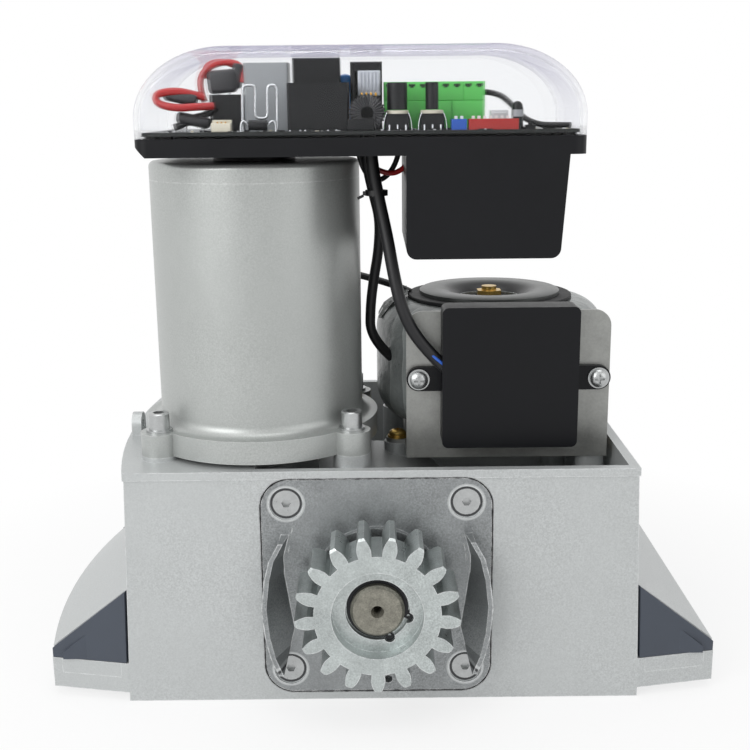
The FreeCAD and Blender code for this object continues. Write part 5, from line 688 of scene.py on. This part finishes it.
# Routes of the cords, in millimetres: radius, length in metres, stiffness and control points
CORDS = {
    "transformer_cable": (3.0, 0.1195, "medium", [
        (-4, -47.5, 270.6), (-3, -48, 256), (0, -49, 240), (4, -52.5, 222), (7, -57, 204), (11, -60, 187),
        (19.5, -60.5, 171.5), (31.2, -60.5, 160)]),
    "primary_lead": (2.6, 0.1275, "medium", [
        (-6, -41.5, 270.6), (-5.5, -39.5, 256), (-2.5, -34, 242), (0.8, -27, 228), (0, -21, 212),
        (-2.5, -18.5, 198), (-4.5, -17.5, 183), (-4.8, -16.8, 166), (6.2, -11.2, 154.5)]),
    "antenna_wire": (1.3, 0.0455, "limp", [
        (48.8, -55, 288.5), (55, -56.5, 288), (61, -60, 283), (65.5, -64.5, 277), (72, -68.5, 273.9),
        (79.5, -70.5, 273.6), (86.5, -70.5, 273.6)]),
}

# Leads in millimetres: name, radius, length if laid as a cord, look and control points
BATTERY_LEADS = (
    ("low_red_lead", 1.7, 50.1, "red sheath", [
        (-78, -66, 287.2), (-84, -68, 289.2), (-91, -70, 290.2), (-98.6, -71, 289), (-98.4, -72, 284.6),
        (-89.5, -73, 282.6), (-80, -72, 283.2), (-74, -68, 283.4)]),
    ("high_red_lead", 1.5, 39.0, "red sheath", [
        (-78.4, -62, 285.5), (-80.4, -61, 291), (-79.6, -60, 298), (-73, -59, 302.2), (-65.5, -59, 302.8),
        (-60.8, -60, 300.4), (-60.9, -61, 293.6)]),
    ("back_red_lead", 1.4, 38.3, "red sheath", [
        (-80, -48, 296), (-80, -47, 300.8), (-76, -46, 303.2), (-70, -45, 303.4), (-63, -44, 300),
        (-58, -44, 294), (-57, -44, 286)]),
    ("low_black_lead", 1.6, None, "black sheath", [
        (-92, -66, 274.2), (-87, -66, 275.4), (-83, -66, 278.6), (-77, -66, 279.4), (-73, -65, 283)]),
)
LOWER_LEADS = (
    ("under_red_lead", 1.3, 35.7, "red sheath", [
        (-7.5, -40, 262.6), (-5.4, -40, 257.6), (-1.2, -40, 253.2), (6.5, -39, 250.6), (12.6, -38, 253.4),
        (15.2, -37, 258), (16.6, -36, 262.3)]),
    ("under_dark_lead", 1.3, None, "black sheath", [
        (-9.6, -37, 262.6), (-8, -37, 254), (-2, -36, 247), (4, -35, 249), (9, -34, 256),
        (10.4, -34, 262.3)]),
    ("motor_lead", 1.9, 65.1, "black sheath", [
        (-38.6, 21.2, 196), (-36.6, 26.2, 195.8), (-30, 32, 195), (-20, 33, 193.6), (-8, 29, 191.4),
        (4, 23, 188.6), (12, 20.5, 186.3), (17.5, 19.2, 183.8)]),
)
CABLE_CORES = (
    ("blue_core", 0.75, None, "blue sheath", [
        (24.6, -62.6, 167.0), (27.2, -63.4, 164.8), (30.2, -63.2, 162.4)]),
)

# Soft covers over the ends of the battery leads, each a box leaned about Y
LEAD_BOOTS = (
    (block, (-96, -70.6, 284.6), (-80.5, -64.5, 289.8), 2.0, 12, (-88, -67, 287)),
    (block, (-91, -68.6, 274.6), (-75.5, -63.6, 279.8), 1.8, 12, (-83, -66, 277)),
    (block, (-76.8, -64, 289), (-63.4, -57, 299.3), 2.2, -5, (-70, -61, 294)),
    (block, (-65.9, -62.4, 291), (-61.2, -56, 302), 1.4, 7, (-63, -60, 296)),
)
LEAD_TABS = (
    (rod, (-87.0, -66, BOARD_TOP), (-87.0, -66, 275.4), 0.9, 12),
    (rod, (-79.0, -66, BOARD_TOP), (-79.0, -66, 275.4), 0.9, 12),
    (block, (-72.5, -62.8, 284.0), (-71.7, -57, 289.5), 0.2),
    (block, (-67.5, -62.8, 284.0), (-66.7, -57, 289.5), 0.2),
)
CABLE_TIE = (
    (lathe, [(4.6, -1.3), (5.4, -1.3), (5.4, 1.3), (4.6, 1.3)], (-0.9, -46.3, 242.6), 24),
    (block, (-7.4, -50.2, 241.6), (-5.6, -48.8, 243.6), 0.3),
    (block, (-10.2, -50.0, 240.9), (-7.0, -49.0, 242.2), 0.3, -25, (-7, -49.5, 241.5)),
)

# Trimmers: where they stand across the board, then values measured from each one's middle
TRIMMERS = (8.6, 24.0)
TRIMMER_RING = [(4.0, 0), (5.1, 0), (5.1, 1.2), (4.7, 1.5), (4.0, 1.5)]
TRIMMER_FRAME = ((6.3, -79.2, BOARD_TOP), (6.2, -79.2, 274.5), (5.6, -79.1, 277.8), (4.6, -78.9, 279.9))
TRIMMER_PINS = (-3.6, 0, 3.6)

# The bent shunt wire in front of the relays, across and up
SHUNT_DEPTH = -77
SHUNT_WIRE = (
    (-59.8, BOARD_TOP), (-59.7, 282), (-59.4, 290.6), (-58.6, 292.1), (-54.4, 292.1), (-53.6, 290.8),
    (-54.0, 283), (-54.2, 279.4), (-53.2, 277.9), (-49.6, 277.9), (-48.7, 279.4), (-48.7, 283),
    (-48.5, 290.8), (-47.6, 292.1), (-45.2, 292.1), (-44.2, 290.6), (-44.4, 282), (-44.8, BOARD_TOP))

DIODE_DEPTH = -79.6
DIODE_LEFT, DIODE_RIGHT, DIODE_UP = -56.9, -48.6, 275.0

# Small parts on the board: name, look, slot, smooth angle and shapes
SMALL_PARTS = (
    ("pin_header", "cream moulding", "white_plastic", 35, (
        (block, (-73.4, -80.4, BOARD_TOP), (-64.8, -79.2, 276.0), 0.3),
        (block, (-73.4, -75.6, BOARD_TOP), (-64.8, -74.6, 277.4), 0.3),
        (block, (-73.4, -79.6, BOARD_TOP), (-72.4, -75.2, 276.2), 0.2),
        (block, (-65.8, -79.6, BOARD_TOP), (-64.8, -75.2, 276.2), 0.2))),
    ("header_pins", "gilt contact", "brass_metal", 40, [
        (rod, (across, -77.4, BOARD_TOP), (across, -77.4, 276.6), 0.35, 8)
        for across in (-70.9, -69.1, -67.3)]),
    ("round_capacitor", "relay case", "relay_black", 35, (
        (lathe, [(0.01, 0), (2.6, 0), (2.6, 8.6), (2.2, 10.6), (1.2, 11.8), (0.01, 12.1)],
         (61.5, -77, BOARD_TOP), 28),)),
    ("capacitor_band", "grey film", "white_plastic", 35, (
        (lathe, [(2.62, 0), (2.72, 0), (2.72, 3.0), (2.62, 3.0)], (61.5, -77, 277.6), 28),)),
    ("pale_socket", "milky moulding", "white_plastic", 35, (
        (block, (50.6, -68.4, BOARD_TOP), (58.6, -63.0, 280.5), 0.5),
        (block, (51.4, -68.8, 276.0), (57.8, -68.2, 279.4), 0.2))),
    ("blue_disc", "blue lacquer", "switch_blue", 35, (
        (lathe, [(0.01, -1.2), (2.6, -1.2), (3.8, -0.6), (4.1, 0), (3.8, 0.6), (2.6, 1.2), (0.01, 1.2)],
         (-14.9, -43.6, 293.2), 28, Matrix.Rotation(math.radians(90), 3, "X")),
        (rod, (-16.9, -43.6, BOARD_TOP), (-16.9, -43.6, 290.6), 0.4, 8),
        (rod, (-12.9, -43.6, BOARD_TOP), (-12.9, -43.6, 290.6), 0.4, 8))),
)
TERMINAL_FACE = (
    (block, (2.9, -60.9, BOARD_TOP), (33.6, -60.0, 284.6), 0.25),
    (block, (33.9, -60.9, BOARD_TOP), (48.7, -60.0, 284.6), 0.25),
    (block, (2.9, -60.5, 284.9), (38.9, -60.0, 293.0), 0.2),
    (block, (39.2, -60.5, 284.9), (48.7, -60.0, 293.0), 0.2),
)
TERMINAL_WAYS, TERMINAL_LEFT, TERMINAL_WIDTH = 9, 2.8, 46

# Parts sown along the board's front margin: name, seed, count, size, look and slot
SOWN_PARTS = (
    ("chip_parts", 3, 60, (1.9, 1.1, 0.9), "relay case", "relay_black"),
    ("solder_points", 8, 90, (0.9, 0.9, 0.7), "tinned wire", "zinc_steel"),
    ("pale_parts", 5, 22, (1.7, 0.9, 0.8), "cream moulding", "white_plastic"),
)
SOWN_FROM, SOWN_TO = (-100, -81), (86, -68)
SOWN_SMALLEST, SOWN_LARGEST = (0.6, 0.6, 0.7), (1.6, 1.5, 1.9)

# Tooth guards on the flange: leaf outlines at the plate and at the front edge, across and up
GUARD_ROOT = ((-44.0, 86.0), (-46.4, 76.0), (-46.6, 67.4), (-44.4, 52.0), (-42.3, 38.6), (-44.6, 29.0),
              (-48.4, 20.4))
GUARD_RIM = ((-47.6, 86.6), (-52.2, 78.0), (-54.6, 68.0), (-56.2, 54.0), (-55.0, 40.0), (-52.6, 29.0),
             (-48.9, 19.8))
GUARD_BACK, GUARD_FRONT = -87.0, -101.0
GUARD_WALL = 1.7
PINION_ROOM = 33

# Clamp of the ring transformer, as (radius, height) outlines about its axis
WASHER_OUTLINE = [(0.01, 178.4), (14.6, 178.8), (16.0, 181.0), (19.0, 183.6), (22.5, 185.6), (25.5, 186.5),
                  (36.4, 186.5), (37.5, 185.9), (37.5, 184.05), (24.0, 184.0), (15.2, 178.2), (0.01, 177.6)]
COLLAR_OUTLINE = [(3.9, 178.6), (9.0, 178.6), (8.8, 179.9), (7.0, 180.8), (3.9, 181.0)]
TOP_PAD_OUTLINE = [(23.8, 182.0), (43.6, 182.0), (44.0, 182.4), (44.0, 183.6), (43.6, 184.0), (23.8, 184.0)]
LOW_PAD_OUTLINE = [(4.6, 113.6), (43.6, 113.6), (44.0, 114.0), (44.0, 117.6), (43.6, 118.0), (4.6, 118.0)]

# Ends of the winding tape: name, low corner, high corner and whether it rises to the right
TAPE_ENDS = (
    ("tape_end_left", (0.5, 2, 172.5), (15.5, 22, 186.3), True),
    ("tape_end_right", (102.4, 2, 172.5), (112.0, 22, 181.5), False),
)


class GATEMOTOR_OT_cords(Step):
    """Lays the two supply leads and the aerial"""
    bl_idname = "gate_motor.cords"
    bl_label = "Cords"

    def execute(self, context):
        for name, (radius, length, stiffness, points) in CORDS.items():
            lay_cord(name + "_line", points, radius, "black sheath", name)
        return {"FINISHED"}


def leaf_guards():
    """The flange with its two leaf-shaped tooth guards in place of plain ones."""
    def on_guard(place, depth):
        return place.y < depth and abs(place.x - middle * MM) > PINION_ROOM * MM

    middle = PLATE_CENTRE[0]
    shape = bmesh.new()
    shape.from_mesh(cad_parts["output_flange"].data)
    shape.transform(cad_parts["output_flange"].matrix_world)
    bmesh.ops.remove_doubles(shape, verts=shape.verts, dist=1e-6)
    plain = [f for f in shape.faces if on_guard(f.calc_center_median(), (PLATE_FRONT - 0.5) * MM)]
    bmesh.ops.delete(shape, geom=plain, context="FACES")
    rims = [e for e in shape.edges if len(e.link_faces) == 1
            and all(on_guard(v.co, (PLATE_FRONT + 0.6) * MM) for v in e.verts)]
    bmesh.ops.holes_fill(shape, edges=rims, sides=0)
    for side in (-1, 1):
        loops = []
        for (root, root_up), (rim, rim_up) in zip(GUARD_ROOT, GUARD_RIM):
            corners = ((root, 0.0, GUARD_BACK, root_up),
                       (rim, -GUARD_WALL, GUARD_FRONT, rim_up),
                       (rim, GUARD_WALL * 0.4, GUARD_FRONT, rim_up),
                       (root, GUARD_WALL * 2.2, GUARD_BACK, root_up))
            loops.append([
                shape.verts.new(Vector((middle + side * (middle - across + inward), deep, up)) * MM)
                for across, inward, deep, up in corners])
        faces = [face for pair in zip(loops, loops[1:]) for face in bridge(shape, *pair)]
        faces += [shape.faces.new(loops[0]), shape.faces.new(loops[-1])]
        bmesh.ops.recalc_face_normals(shape, faces=faces)
    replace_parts(add_piece("guarded_flange", shape, "cast flange"), "output_flange")


class GATEMOTOR_OT_castings(Step):
    """Finishes of the cast base, the flange and the plastic bolt covers"""
    bl_idname = "gate_motor.castings"
    bl_label = "Castings"

    def execute(self, context):
        dress(finish("silver cast paint"), "base_housing")
        dress(finish("blue grey moulding"), "bolt_covers")
        leaf_guards()
        return {"FINISHED"}


class GATEMOTOR_OT_drive(Step):
    """Finishes of the pinion, shafts, gears, bearings and screws"""
    bl_idname = "gate_motor.drive"
    bl_label = "Drive"

    def execute(self, context):
        dress(finish("zinc plate"), "pinion")
        dress(finish("turned shaft"), "output_shaft")
        dress(finish("ground steel"), "shaft_keys", "output_bearings", "worm_shaft", "rotor_bearings",
              "release_rod")
        dress(finish("plated screw"), "flange_screws", "motor_bolts", "junction_box_screws", "release_lock")
        dress(finish("black rubber"), "oil_seal")
        dress(finish("black oxide"), "shaft_circlip", "motor_magnets")
        dress(finish("bronze"), "worm_wheel")
        dress(finish("copper wire"), "armature_windings", "commutator")
        dress(finish("stacked sheet"), "armature_core")
        dress(finish("carbon"), "motor_brushes")
        return {"FINISHED"}


class GATEMOTOR_OT_motor(Step):
    """Finishes of the motor housing, its end cap and the release lever"""
    bl_idname = "gate_motor.motor"
    bl_label = "Motor"

    def execute(self, context):
        dress(finish("silver motor paint"), "motor_housing", "motor_end_cap")
        dress(finish("black moulding"), "brush_holder", "release_lever")
        return {"FINISHED"}


class GATEMOTOR_OT_transformer(Step):
    """Finishes of the ring transformer, its bracket and the junction box"""
    bl_idname = "gate_motor.transformer"
    bl_label = "Transformer"

    def execute(self, context):
        dress(finish("wound tape"), "toroid_transformer")
        dress(finish("brass"), "bracket_screws")
        dress(finish("galvanised sheet"), "transformer_bracket")
        dress(finish("black moulding"), "junction_box")
        return {"FINISHED"}


class GATEMOTOR_OT_control(Step):
    """Finishes of the tray, the clear cover and what stands on the board"""
    bl_idname = "gate_motor.control"
    bl_label = "Control unit"

    def execute(self, context):
        dress(finish("black moulding"), "control_tray")
        dress(clear_plastic(), "clear_cover")
        dress(finish("solder mask"), "circuit_board")
        dress(finish("relay set"), "relays")
        dress(finish("relay case"), "phone_jack", "trimmer_bases", "tact_switch", "tact_button",
              "trimmer_knob_1", "trimmer_knob_2")
        dress(finish("wound coil"), "inductor")
        dress(finish("green moulding"), "terminal_block")
        dress(finish("blue moulding"), "dip_switch_blue")
        dress(finish("red moulding"), "dip_switch_red")
        dress(finish("white moulding"), *("dip_lever_%02d" % number for number in range(1, 11)))
        return {"FINISHED"}


class GATEMOTOR_OT_leads(Step):
    """Adds the battery leads, their boots and the leads under the tray"""
    bl_idname = "gate_motor.leads"
    bl_label = "Leads"

    def execute(self, context):
        lay_leads(BATTERY_LEADS)
        build("lead_boots", "soft boot", "cable_black", 40, LEAD_BOOTS)
        build("lead_tabs", "tinned wire", "zinc_steel", 40, LEAD_TABS)
        lay_leads(LOWER_LEADS)
        build("cable_tie", "tie nylon", "black_plastic", 40, CABLE_TIE)
        lay_leads(CABLE_CORES)
        return {"FINISHED"}


def trimmer(number, middle):
    """A trimmer's pale ring, its two bent side frames and its three pins."""
    build("trimmer_ring_%d" % number, "cream moulding", "white_plastic", 35,
          [(lathe, TRIMMER_RING, (middle, -73, 279.3), 40)])
    for side, word in ((-1, "left"), (1, "right")):
        wire("trimmer_frame_%d_%s" % (number, word), [
            (middle + side * across, deep, up) for across, deep, up in TRIMMER_FRAME], 0.24, "tinned wire")
    build("trimmer_pins_%d" % number, "tinned wire", "zinc_steel", 40, [
        (rod, (middle + pin, -79.4, BOARD_TOP), (middle + pin, -79.4, 274.6), 0.45, 8)
        for pin in TRIMMER_PINS])


def shunt_and_diode():
    """The bent shunt wire and the diode with its two leads."""
    wire("shunt_wire", [(across, SHUNT_DEPTH, up) for across, up in SHUNT_WIRE], 0.62, "tinned wire")
    build("diode", "relay case", "relay_black", 35, [
        (rod, (DIODE_LEFT, DIODE_DEPTH, DIODE_UP), (DIODE_RIGHT, DIODE_DEPTH, DIODE_UP), 2.2, 24)])
    for word, side, near, far in (("left", -1, DIODE_LEFT, -60.4), ("right", 1, DIODE_RIGHT, -45.0)):
        route = ((near, DIODE_UP), (near + side * 1.6, 276.8), (far - side * 0.6, 276.8), (far, 274.6),
                 (far, BOARD_TOP))
        wire("diode_lead_" + word, [(across, DIODE_DEPTH, up) for across, up in route], 0.5, "tinned wire")


def choke():
    """Turns of wire round the choke, and the choke's foot."""
    turns, inner, outer, inner_depth, half_depth, wire_radius = 30, 2.9, 7.9, 4.3, 4.1, 0.42
    across, deep, up = COIL_CENTRE
    parts = []
    for turn in range(turns):
        angle = math.tau * turn / turns
        inside = (across + inner * math.cos(angle), deep - inner_depth, up + inner * math.sin(angle))
        front = (across + outer * math.cos(angle), deep - half_depth, up + outer * math.sin(angle))
        back = (front[0], deep + half_depth, front[2])
        parts += [(rod, inside, front, wire_radius, 8), (rod, front, back, wire_radius, 8)]
    build("choke_turns", "enamelled wire", "coil_black", 40, parts)
    build("choke_foot", "relay case", "relay_black", 35, [
        (block, (-13.4, -80.0, BOARD_TOP), (-1.7, -75.0, 277.4), 0.5)])


def terminal_front():
    """The stepped front of the terminal block, with painted shade at each way: thin dark green patches on
    the face that stand for the shade in its openings.
    """
    build("terminal_face", "green moulding", "terminal_green", 35, TERMINAL_FACE)
    port_shades = []
    for way in range(TERMINAL_WAYS):
        middle = TERMINAL_LEFT + (way + 0.5) * TERMINAL_WIDTH / TERMINAL_WAYS
        port_shades += [(block, (middle - 1.5, -60.75, 291.2), (middle + 1.5, -60.4, 292.2), 0.1),
                  (block, (middle - 0.8, -60.85, 290.6), (middle + 0.8, -60.4, 291.4), 0.1)]
    build("terminal_ports", "port shade", "relay_black", 35, port_shades)


def plug():
    """The clear modular plug with its ribs and contacts."""
    ribs, rib_left, rib_pitch, rib_width = 6, -8.1, 1.62, 0.8
    contacts, contact_left, contact_pitch, contact_width = 4, -7.6, 2.1, 0.9
    parts = [(block, (-8.9, -64.6, 287.2), (1.3, -62.05, 298.2), 0.5)]
    for rib in range(ribs):
        left = rib_left + rib * rib_pitch
        parts.append((block, (left, -65.1, 289.4), (left + rib_width, -64.5, 297.6), 0.15))
    build("modular_plug", "clear plug", "clear_plastic", 35, parts)
    parts = []
    for contact in range(contacts):
        left = contact_left + contact * contact_pitch
        parts.append((block, (left, -65.0, 286.6), (left + contact_width, -64.4, 288.6), 0.1))
    build("plug_contacts", "gilt contact", "brass_metal", 35, parts)


def sow(name, seed, count, size, look, slot):
    """Boxes of chance size set at chance places along the board's front margin."""
    tree = bpy.data.node_groups.new(name + "_tree", "GeometryNodeTree")
    for label, way, kind in (("Geometry", "INPUT", "Geometry"), ("Seed", "INPUT", "Int"),
                             ("Count", "INPUT", "Int"), ("Geometry", "OUTPUT", "Geometry")):
        tree.interface.new_socket(label, in_out=way, socket_type="NodeSocket" + kind)
    tree.interface.items_tree["Seed"].default_value = seed
    tree.interface.items_tree["Count"].default_value = count
    given = Results(tree, tree.nodes.new("NodeGroupInput"))

    def step(kind, settings=None, **values):
        made = tree.nodes.new(kind)
        for key, value in (settings or {}).items():
            setattr(made, key, value)
        fill(made, **values)
        return Sum(tree, made.outputs[0])

    def chance(low, high):
        return step("FunctionNodeRandomValue", {"data_type": "FLOAT_VECTOR"}, Seed=given["Seed"],
                    i0=low, i1=high)

    points = step("GeometryNodeMeshLine", {"mode": "OFFSET"}, Count=given["Count"],
                  Start_Location=(0.0, 0.0, BOARD_TOP * MM), Offset=(0.0, 0.0, 0.0))
    moved = step("GeometryNodeSetPosition", Geometry=points, Offset=chance(
        (SOWN_FROM[0] * MM, SOWN_FROM[1] * MM, 0), (SOWN_TO[0] * MM, SOWN_TO[1] * MM, 0)))
    box = step("GeometryNodeMeshCube", Size=[v * MM for v in size])
    copies = step("GeometryNodeInstanceOnPoints", Points=moved, Instance=box,
                  Scale=chance(SOWN_SMALLEST, SOWN_LARGEST))
    real = step("GeometryNodeRealizeInstances", Geometry=copies)
    painted = step("GeometryNodeSetMaterial", Geometry=real, Material=finish(look))
    painted.to(tree.nodes.new("NodeGroupOutput").inputs[0])
    host = show(name + "_host", bpy.data.meshes.new(name + "_host"))
    host.modifiers.new("sow", "NODES").node_group = tree
    thing = show(name, settled_mesh(host))
    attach(thing, "base")


class GATEMOTOR_OT_board_details(Step):
    """Adds the small parts on the board and the plug in its jack"""
    bl_idname = "gate_motor.board_details"
    bl_label = "Board details"

    def execute(self, context):
        for number, middle in enumerate(TRIMMERS, 1):
            trimmer(number, middle)
        shunt_and_diode()
        for row in SMALL_PARTS:
            build(*row)
        choke()
        terminal_front()
        plug()
        for row in SOWN_PARTS:
            sow(*row)
        return {"FINISHED"}


def band_fronts():
    """Strips that close the mouths of the bolt tunnels, flush with the tapering sides of the feet."""
    low, high, left, right, thickness = 12.3, 20.0, 127.6, 158.4, 2.6
    taper_start, taper_length, taper_width, foot_half = 124.5, 38.5, 7.5, 87.46
    shape = bmesh.new()
    for side in (-1, 1):
        for face in (-1, 1):
            corners = []
            for across, back in ((left, 0.0), (right, 0.0), (right, thickness), (left, thickness)):
                outer = foot_half - taper_width * (across - taper_start) / taper_length
                corners.append((side * across, face * (outer - back)))
            loops = [[shape.verts.new(Vector((across, deep, up)) * MM) for across, deep in corners]
                     for up in (low, high)]
            for loop in loops:
                shape.faces.new(loop)
            bridge(shape, *loops)
    bmesh.ops.recalc_face_normals(shape, faces=shape.faces)
    add_piece("band_fronts", shape, "silver cast paint")


def clamp():
    """The dished washer, the nut in its sunk middle and the rubber pads."""
    bolt_low, bolt_high, nut_low, nut_high, head_high = 104.6, 187.6, 180.4, 185.4, 110.8
    across, deep, _ = TOROID_CENTRE
    axis = (across, deep, 0)
    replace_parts(build("dished_washer", "pressed washer", "bracket_steel", 30, [
        (lathe, WASHER_OUTLINE, axis, 96)]), "clamp_washer")
    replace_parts(build("clamp_nut", "brass", "brass_metal", 35, [
        (rod, (across, deep, bolt_low), (across, deep, bolt_high), 4.0, 32),
        (lathe, COLLAR_OUTLINE, axis, 40),
        (rod, (across, deep, nut_low), (across, deep, nut_high), 7.2, 6),
        (rod, (across, deep, bolt_low), (across, deep, head_high), 8.4, 6)]), "clamp_bolt")
    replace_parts(build("rubber_pads", "black rubber", "black_rubber", 35, [
        (lathe, TOP_PAD_OUTLINE, axis, 96), (lathe, LOW_PAD_OUTLINE, axis, 96)]), "toroid_pads")


def tape_ends():
    """Crumpled ends of the winding tape at both sides of the ring."""
    rows, columns, rise, film = 7, 6, 0.6, 0.5
    chance = random.Random(11)
    for name, low, high, to_the_right in TAPE_ENDS:
        shape = bmesh.new()
        points = []
        for row in range(rows):
            along = row / (rows - 1)
            line = []
            for column in range(columns):
                up = column / (columns - 1)
                reach = up if to_the_right else 1 - up
                line.append(shape.verts.new(Vector((
                    low[0] + (high[0] - low[0]) * reach + chance.uniform(-1.0, 1.0),
                    low[1] + (high[1] - low[1]) * along,
                    low[2] + (high[2] - low[2]) * (up ** rise) + chance.uniform(-1.3, 1.1))) * MM))
            points.append(line)
        for row in range(rows - 1):
            for column in range(columns - 1):
                shape.faces.new((points[row][column], points[row + 1][column],
                                 points[row + 1][column + 1], points[row][column + 1]))
        bmesh.ops.solidify(shape, geom=list(shape.faces), thickness=film * MM)
        bmesh.ops.recalc_face_normals(shape, faces=shape.faces)
        add_piece(name, shape, "tape film", 15)


class GATEMOTOR_OT_metal_details(Step):
    """Adds the strips at the tunnel mouths, the clamp of the ring and the crumpled tape ends"""
    bl_idname = "gate_motor.metal_details"
    bl_label = "Metal details"

    def execute(self, context):
        band_fronts()
        clamp()
        tape_ends()
        return {"FINISHED"}


def seen_directly(tree):
    """One for rays from the camera, a reflection or a clear part, and none for the rest."""
    ray = add(tree, "LightPath")
    mirrored = ray["Is Glossy Ray"].maths("MAXIMUM", ray["Is Transmission Ray"])
    return ray["Is Camera Ray"].maths("MAXIMUM", mirrored)


class GATEMOTOR_OT_stage(Step):
    """Floor, soft boxes and surrounding light"""
    bl_idname = "gate_motor.stage"
    bl_label = "Stage"

    def execute(self, context):
        self.lay_floor()
        self.light(studio())
        bpy.context.scene.view_settings.view_transform = "Standard"
        return {"FINISHED"}

    def lay_floor(self):
        """A pale round floor that takes the motor's shadow and turns white further away."""
        floor_radius, floor_drop = 4.0, 0.0002
        white_from, white_to, white_share = 0.14, 0.34, 0.74
        shape = bmesh.new()
        bmesh.ops.create_circle(shape, cap_ends=True, segments=96, radius=floor_radius)
        data = bpy.data.meshes.new("floor")
        shape.to_mesh(data)
        shape.free()
        floor = show("floor", data)
        floor.location = (0, 0, -floor_drop)
        made, tree, shader = new_material("pale floor")
        fill(shader, Base_Color=(0.9, 0.9, 0.9, 1.0), Roughness=0.85, Specular_IOR_Level=0.1)
        far = object_place(tree).length().spread(white_from, white_to, white_share, 1.0)
        blend_shaders(tree, far * seen_directly(tree), shader,
                      add(tree, "Emission", Color=(1.0, 1.0, 1.0, 1.0), Strength=1.0)[0])
        data.materials.append(made)

    def light(self, values):
        """A white surround and three soft boxes aimed at the motor's middle."""
        aim_height = 0.14
        world = bpy.data.worlds.new("studio")
        bpy.context.scene.world = world
        world.use_nodes = True
        tree = world.node_tree
        fill(tree.nodes["Background"], Color=(1.0, 1.0, 1.0, 1.0),
             Strength=seen_directly(tree).spread(0.0, 1.0, values.ambient, 1.0))
        for name, power, size, place in (
                ("key", values.key, 0.9, (-0.85, -0.95, 0.75)),
                ("fill", values.fill, 0.9, (0.95, -0.9, 0.55)),
                ("top", values.top, 1.0, (0.0, -0.1, 1.25))):
            lamp = bpy.data.lights.new(name, "AREA")
            lamp.energy = power
            lamp.shape = "SQUARE"
            lamp.size = size
            aim = (Vector((0, 0, aim_height)) - Vector(place)).to_track_quat("-Z", "Y")
            show(name, lamp).matrix_world = Matrix.Translation(place) @ aim.to_matrix().to_4x4()


STEPS = (GATEMOTOR_OT_camera, GATEMOTOR_OT_cords, GATEMOTOR_OT_castings, GATEMOTOR_OT_drive,
         GATEMOTOR_OT_motor, GATEMOTOR_OT_transformer, GATEMOTOR_OT_control, GATEMOTOR_OT_leads,
         GATEMOTOR_OT_board_details, GATEMOTOR_OT_metal_details, GATEMOTOR_OT_stage)


class GATEMOTOR_PT_panel(bpy.types.Panel):
    """Lists the steps in the order they run"""
    bl_label = "Gate motor"
    bl_idname = "GATEMOTOR_PT_panel"
    bl_space_type = "VIEW_3D"
    bl_region_type = "UI"
    bl_category = "Gate motor"

    def draw(self, context):
        for step in STEPS:
            self.layout.operator(step.bl_idname)


CLASSES = (GateMotorColours, GateMotorStudio) + STEPS + (GATEMOTOR_PT_panel,)


def register():
    for kind in CLASSES:
        bpy.utils.register_class(kind)
    bpy.types.Scene.gate_motor_colours = PointerProperty(type=GateMotorColours)
    bpy.types.Scene.gate_motor_studio = PointerProperty(type=GateMotorStudio)


def unregister():
    del bpy.types.Scene.gate_motor_studio
    del bpy.types.Scene.gate_motor_colours
    for kind in reversed(CLASSES):
        bpy.utils.unregister_class(kind)


def main():
    register()
    for step in STEPS:
        group, name = step.bl_idname.split(".")
        getattr(getattr(bpy.ops, group), name)()


if __name__ == "__main__":
    main()
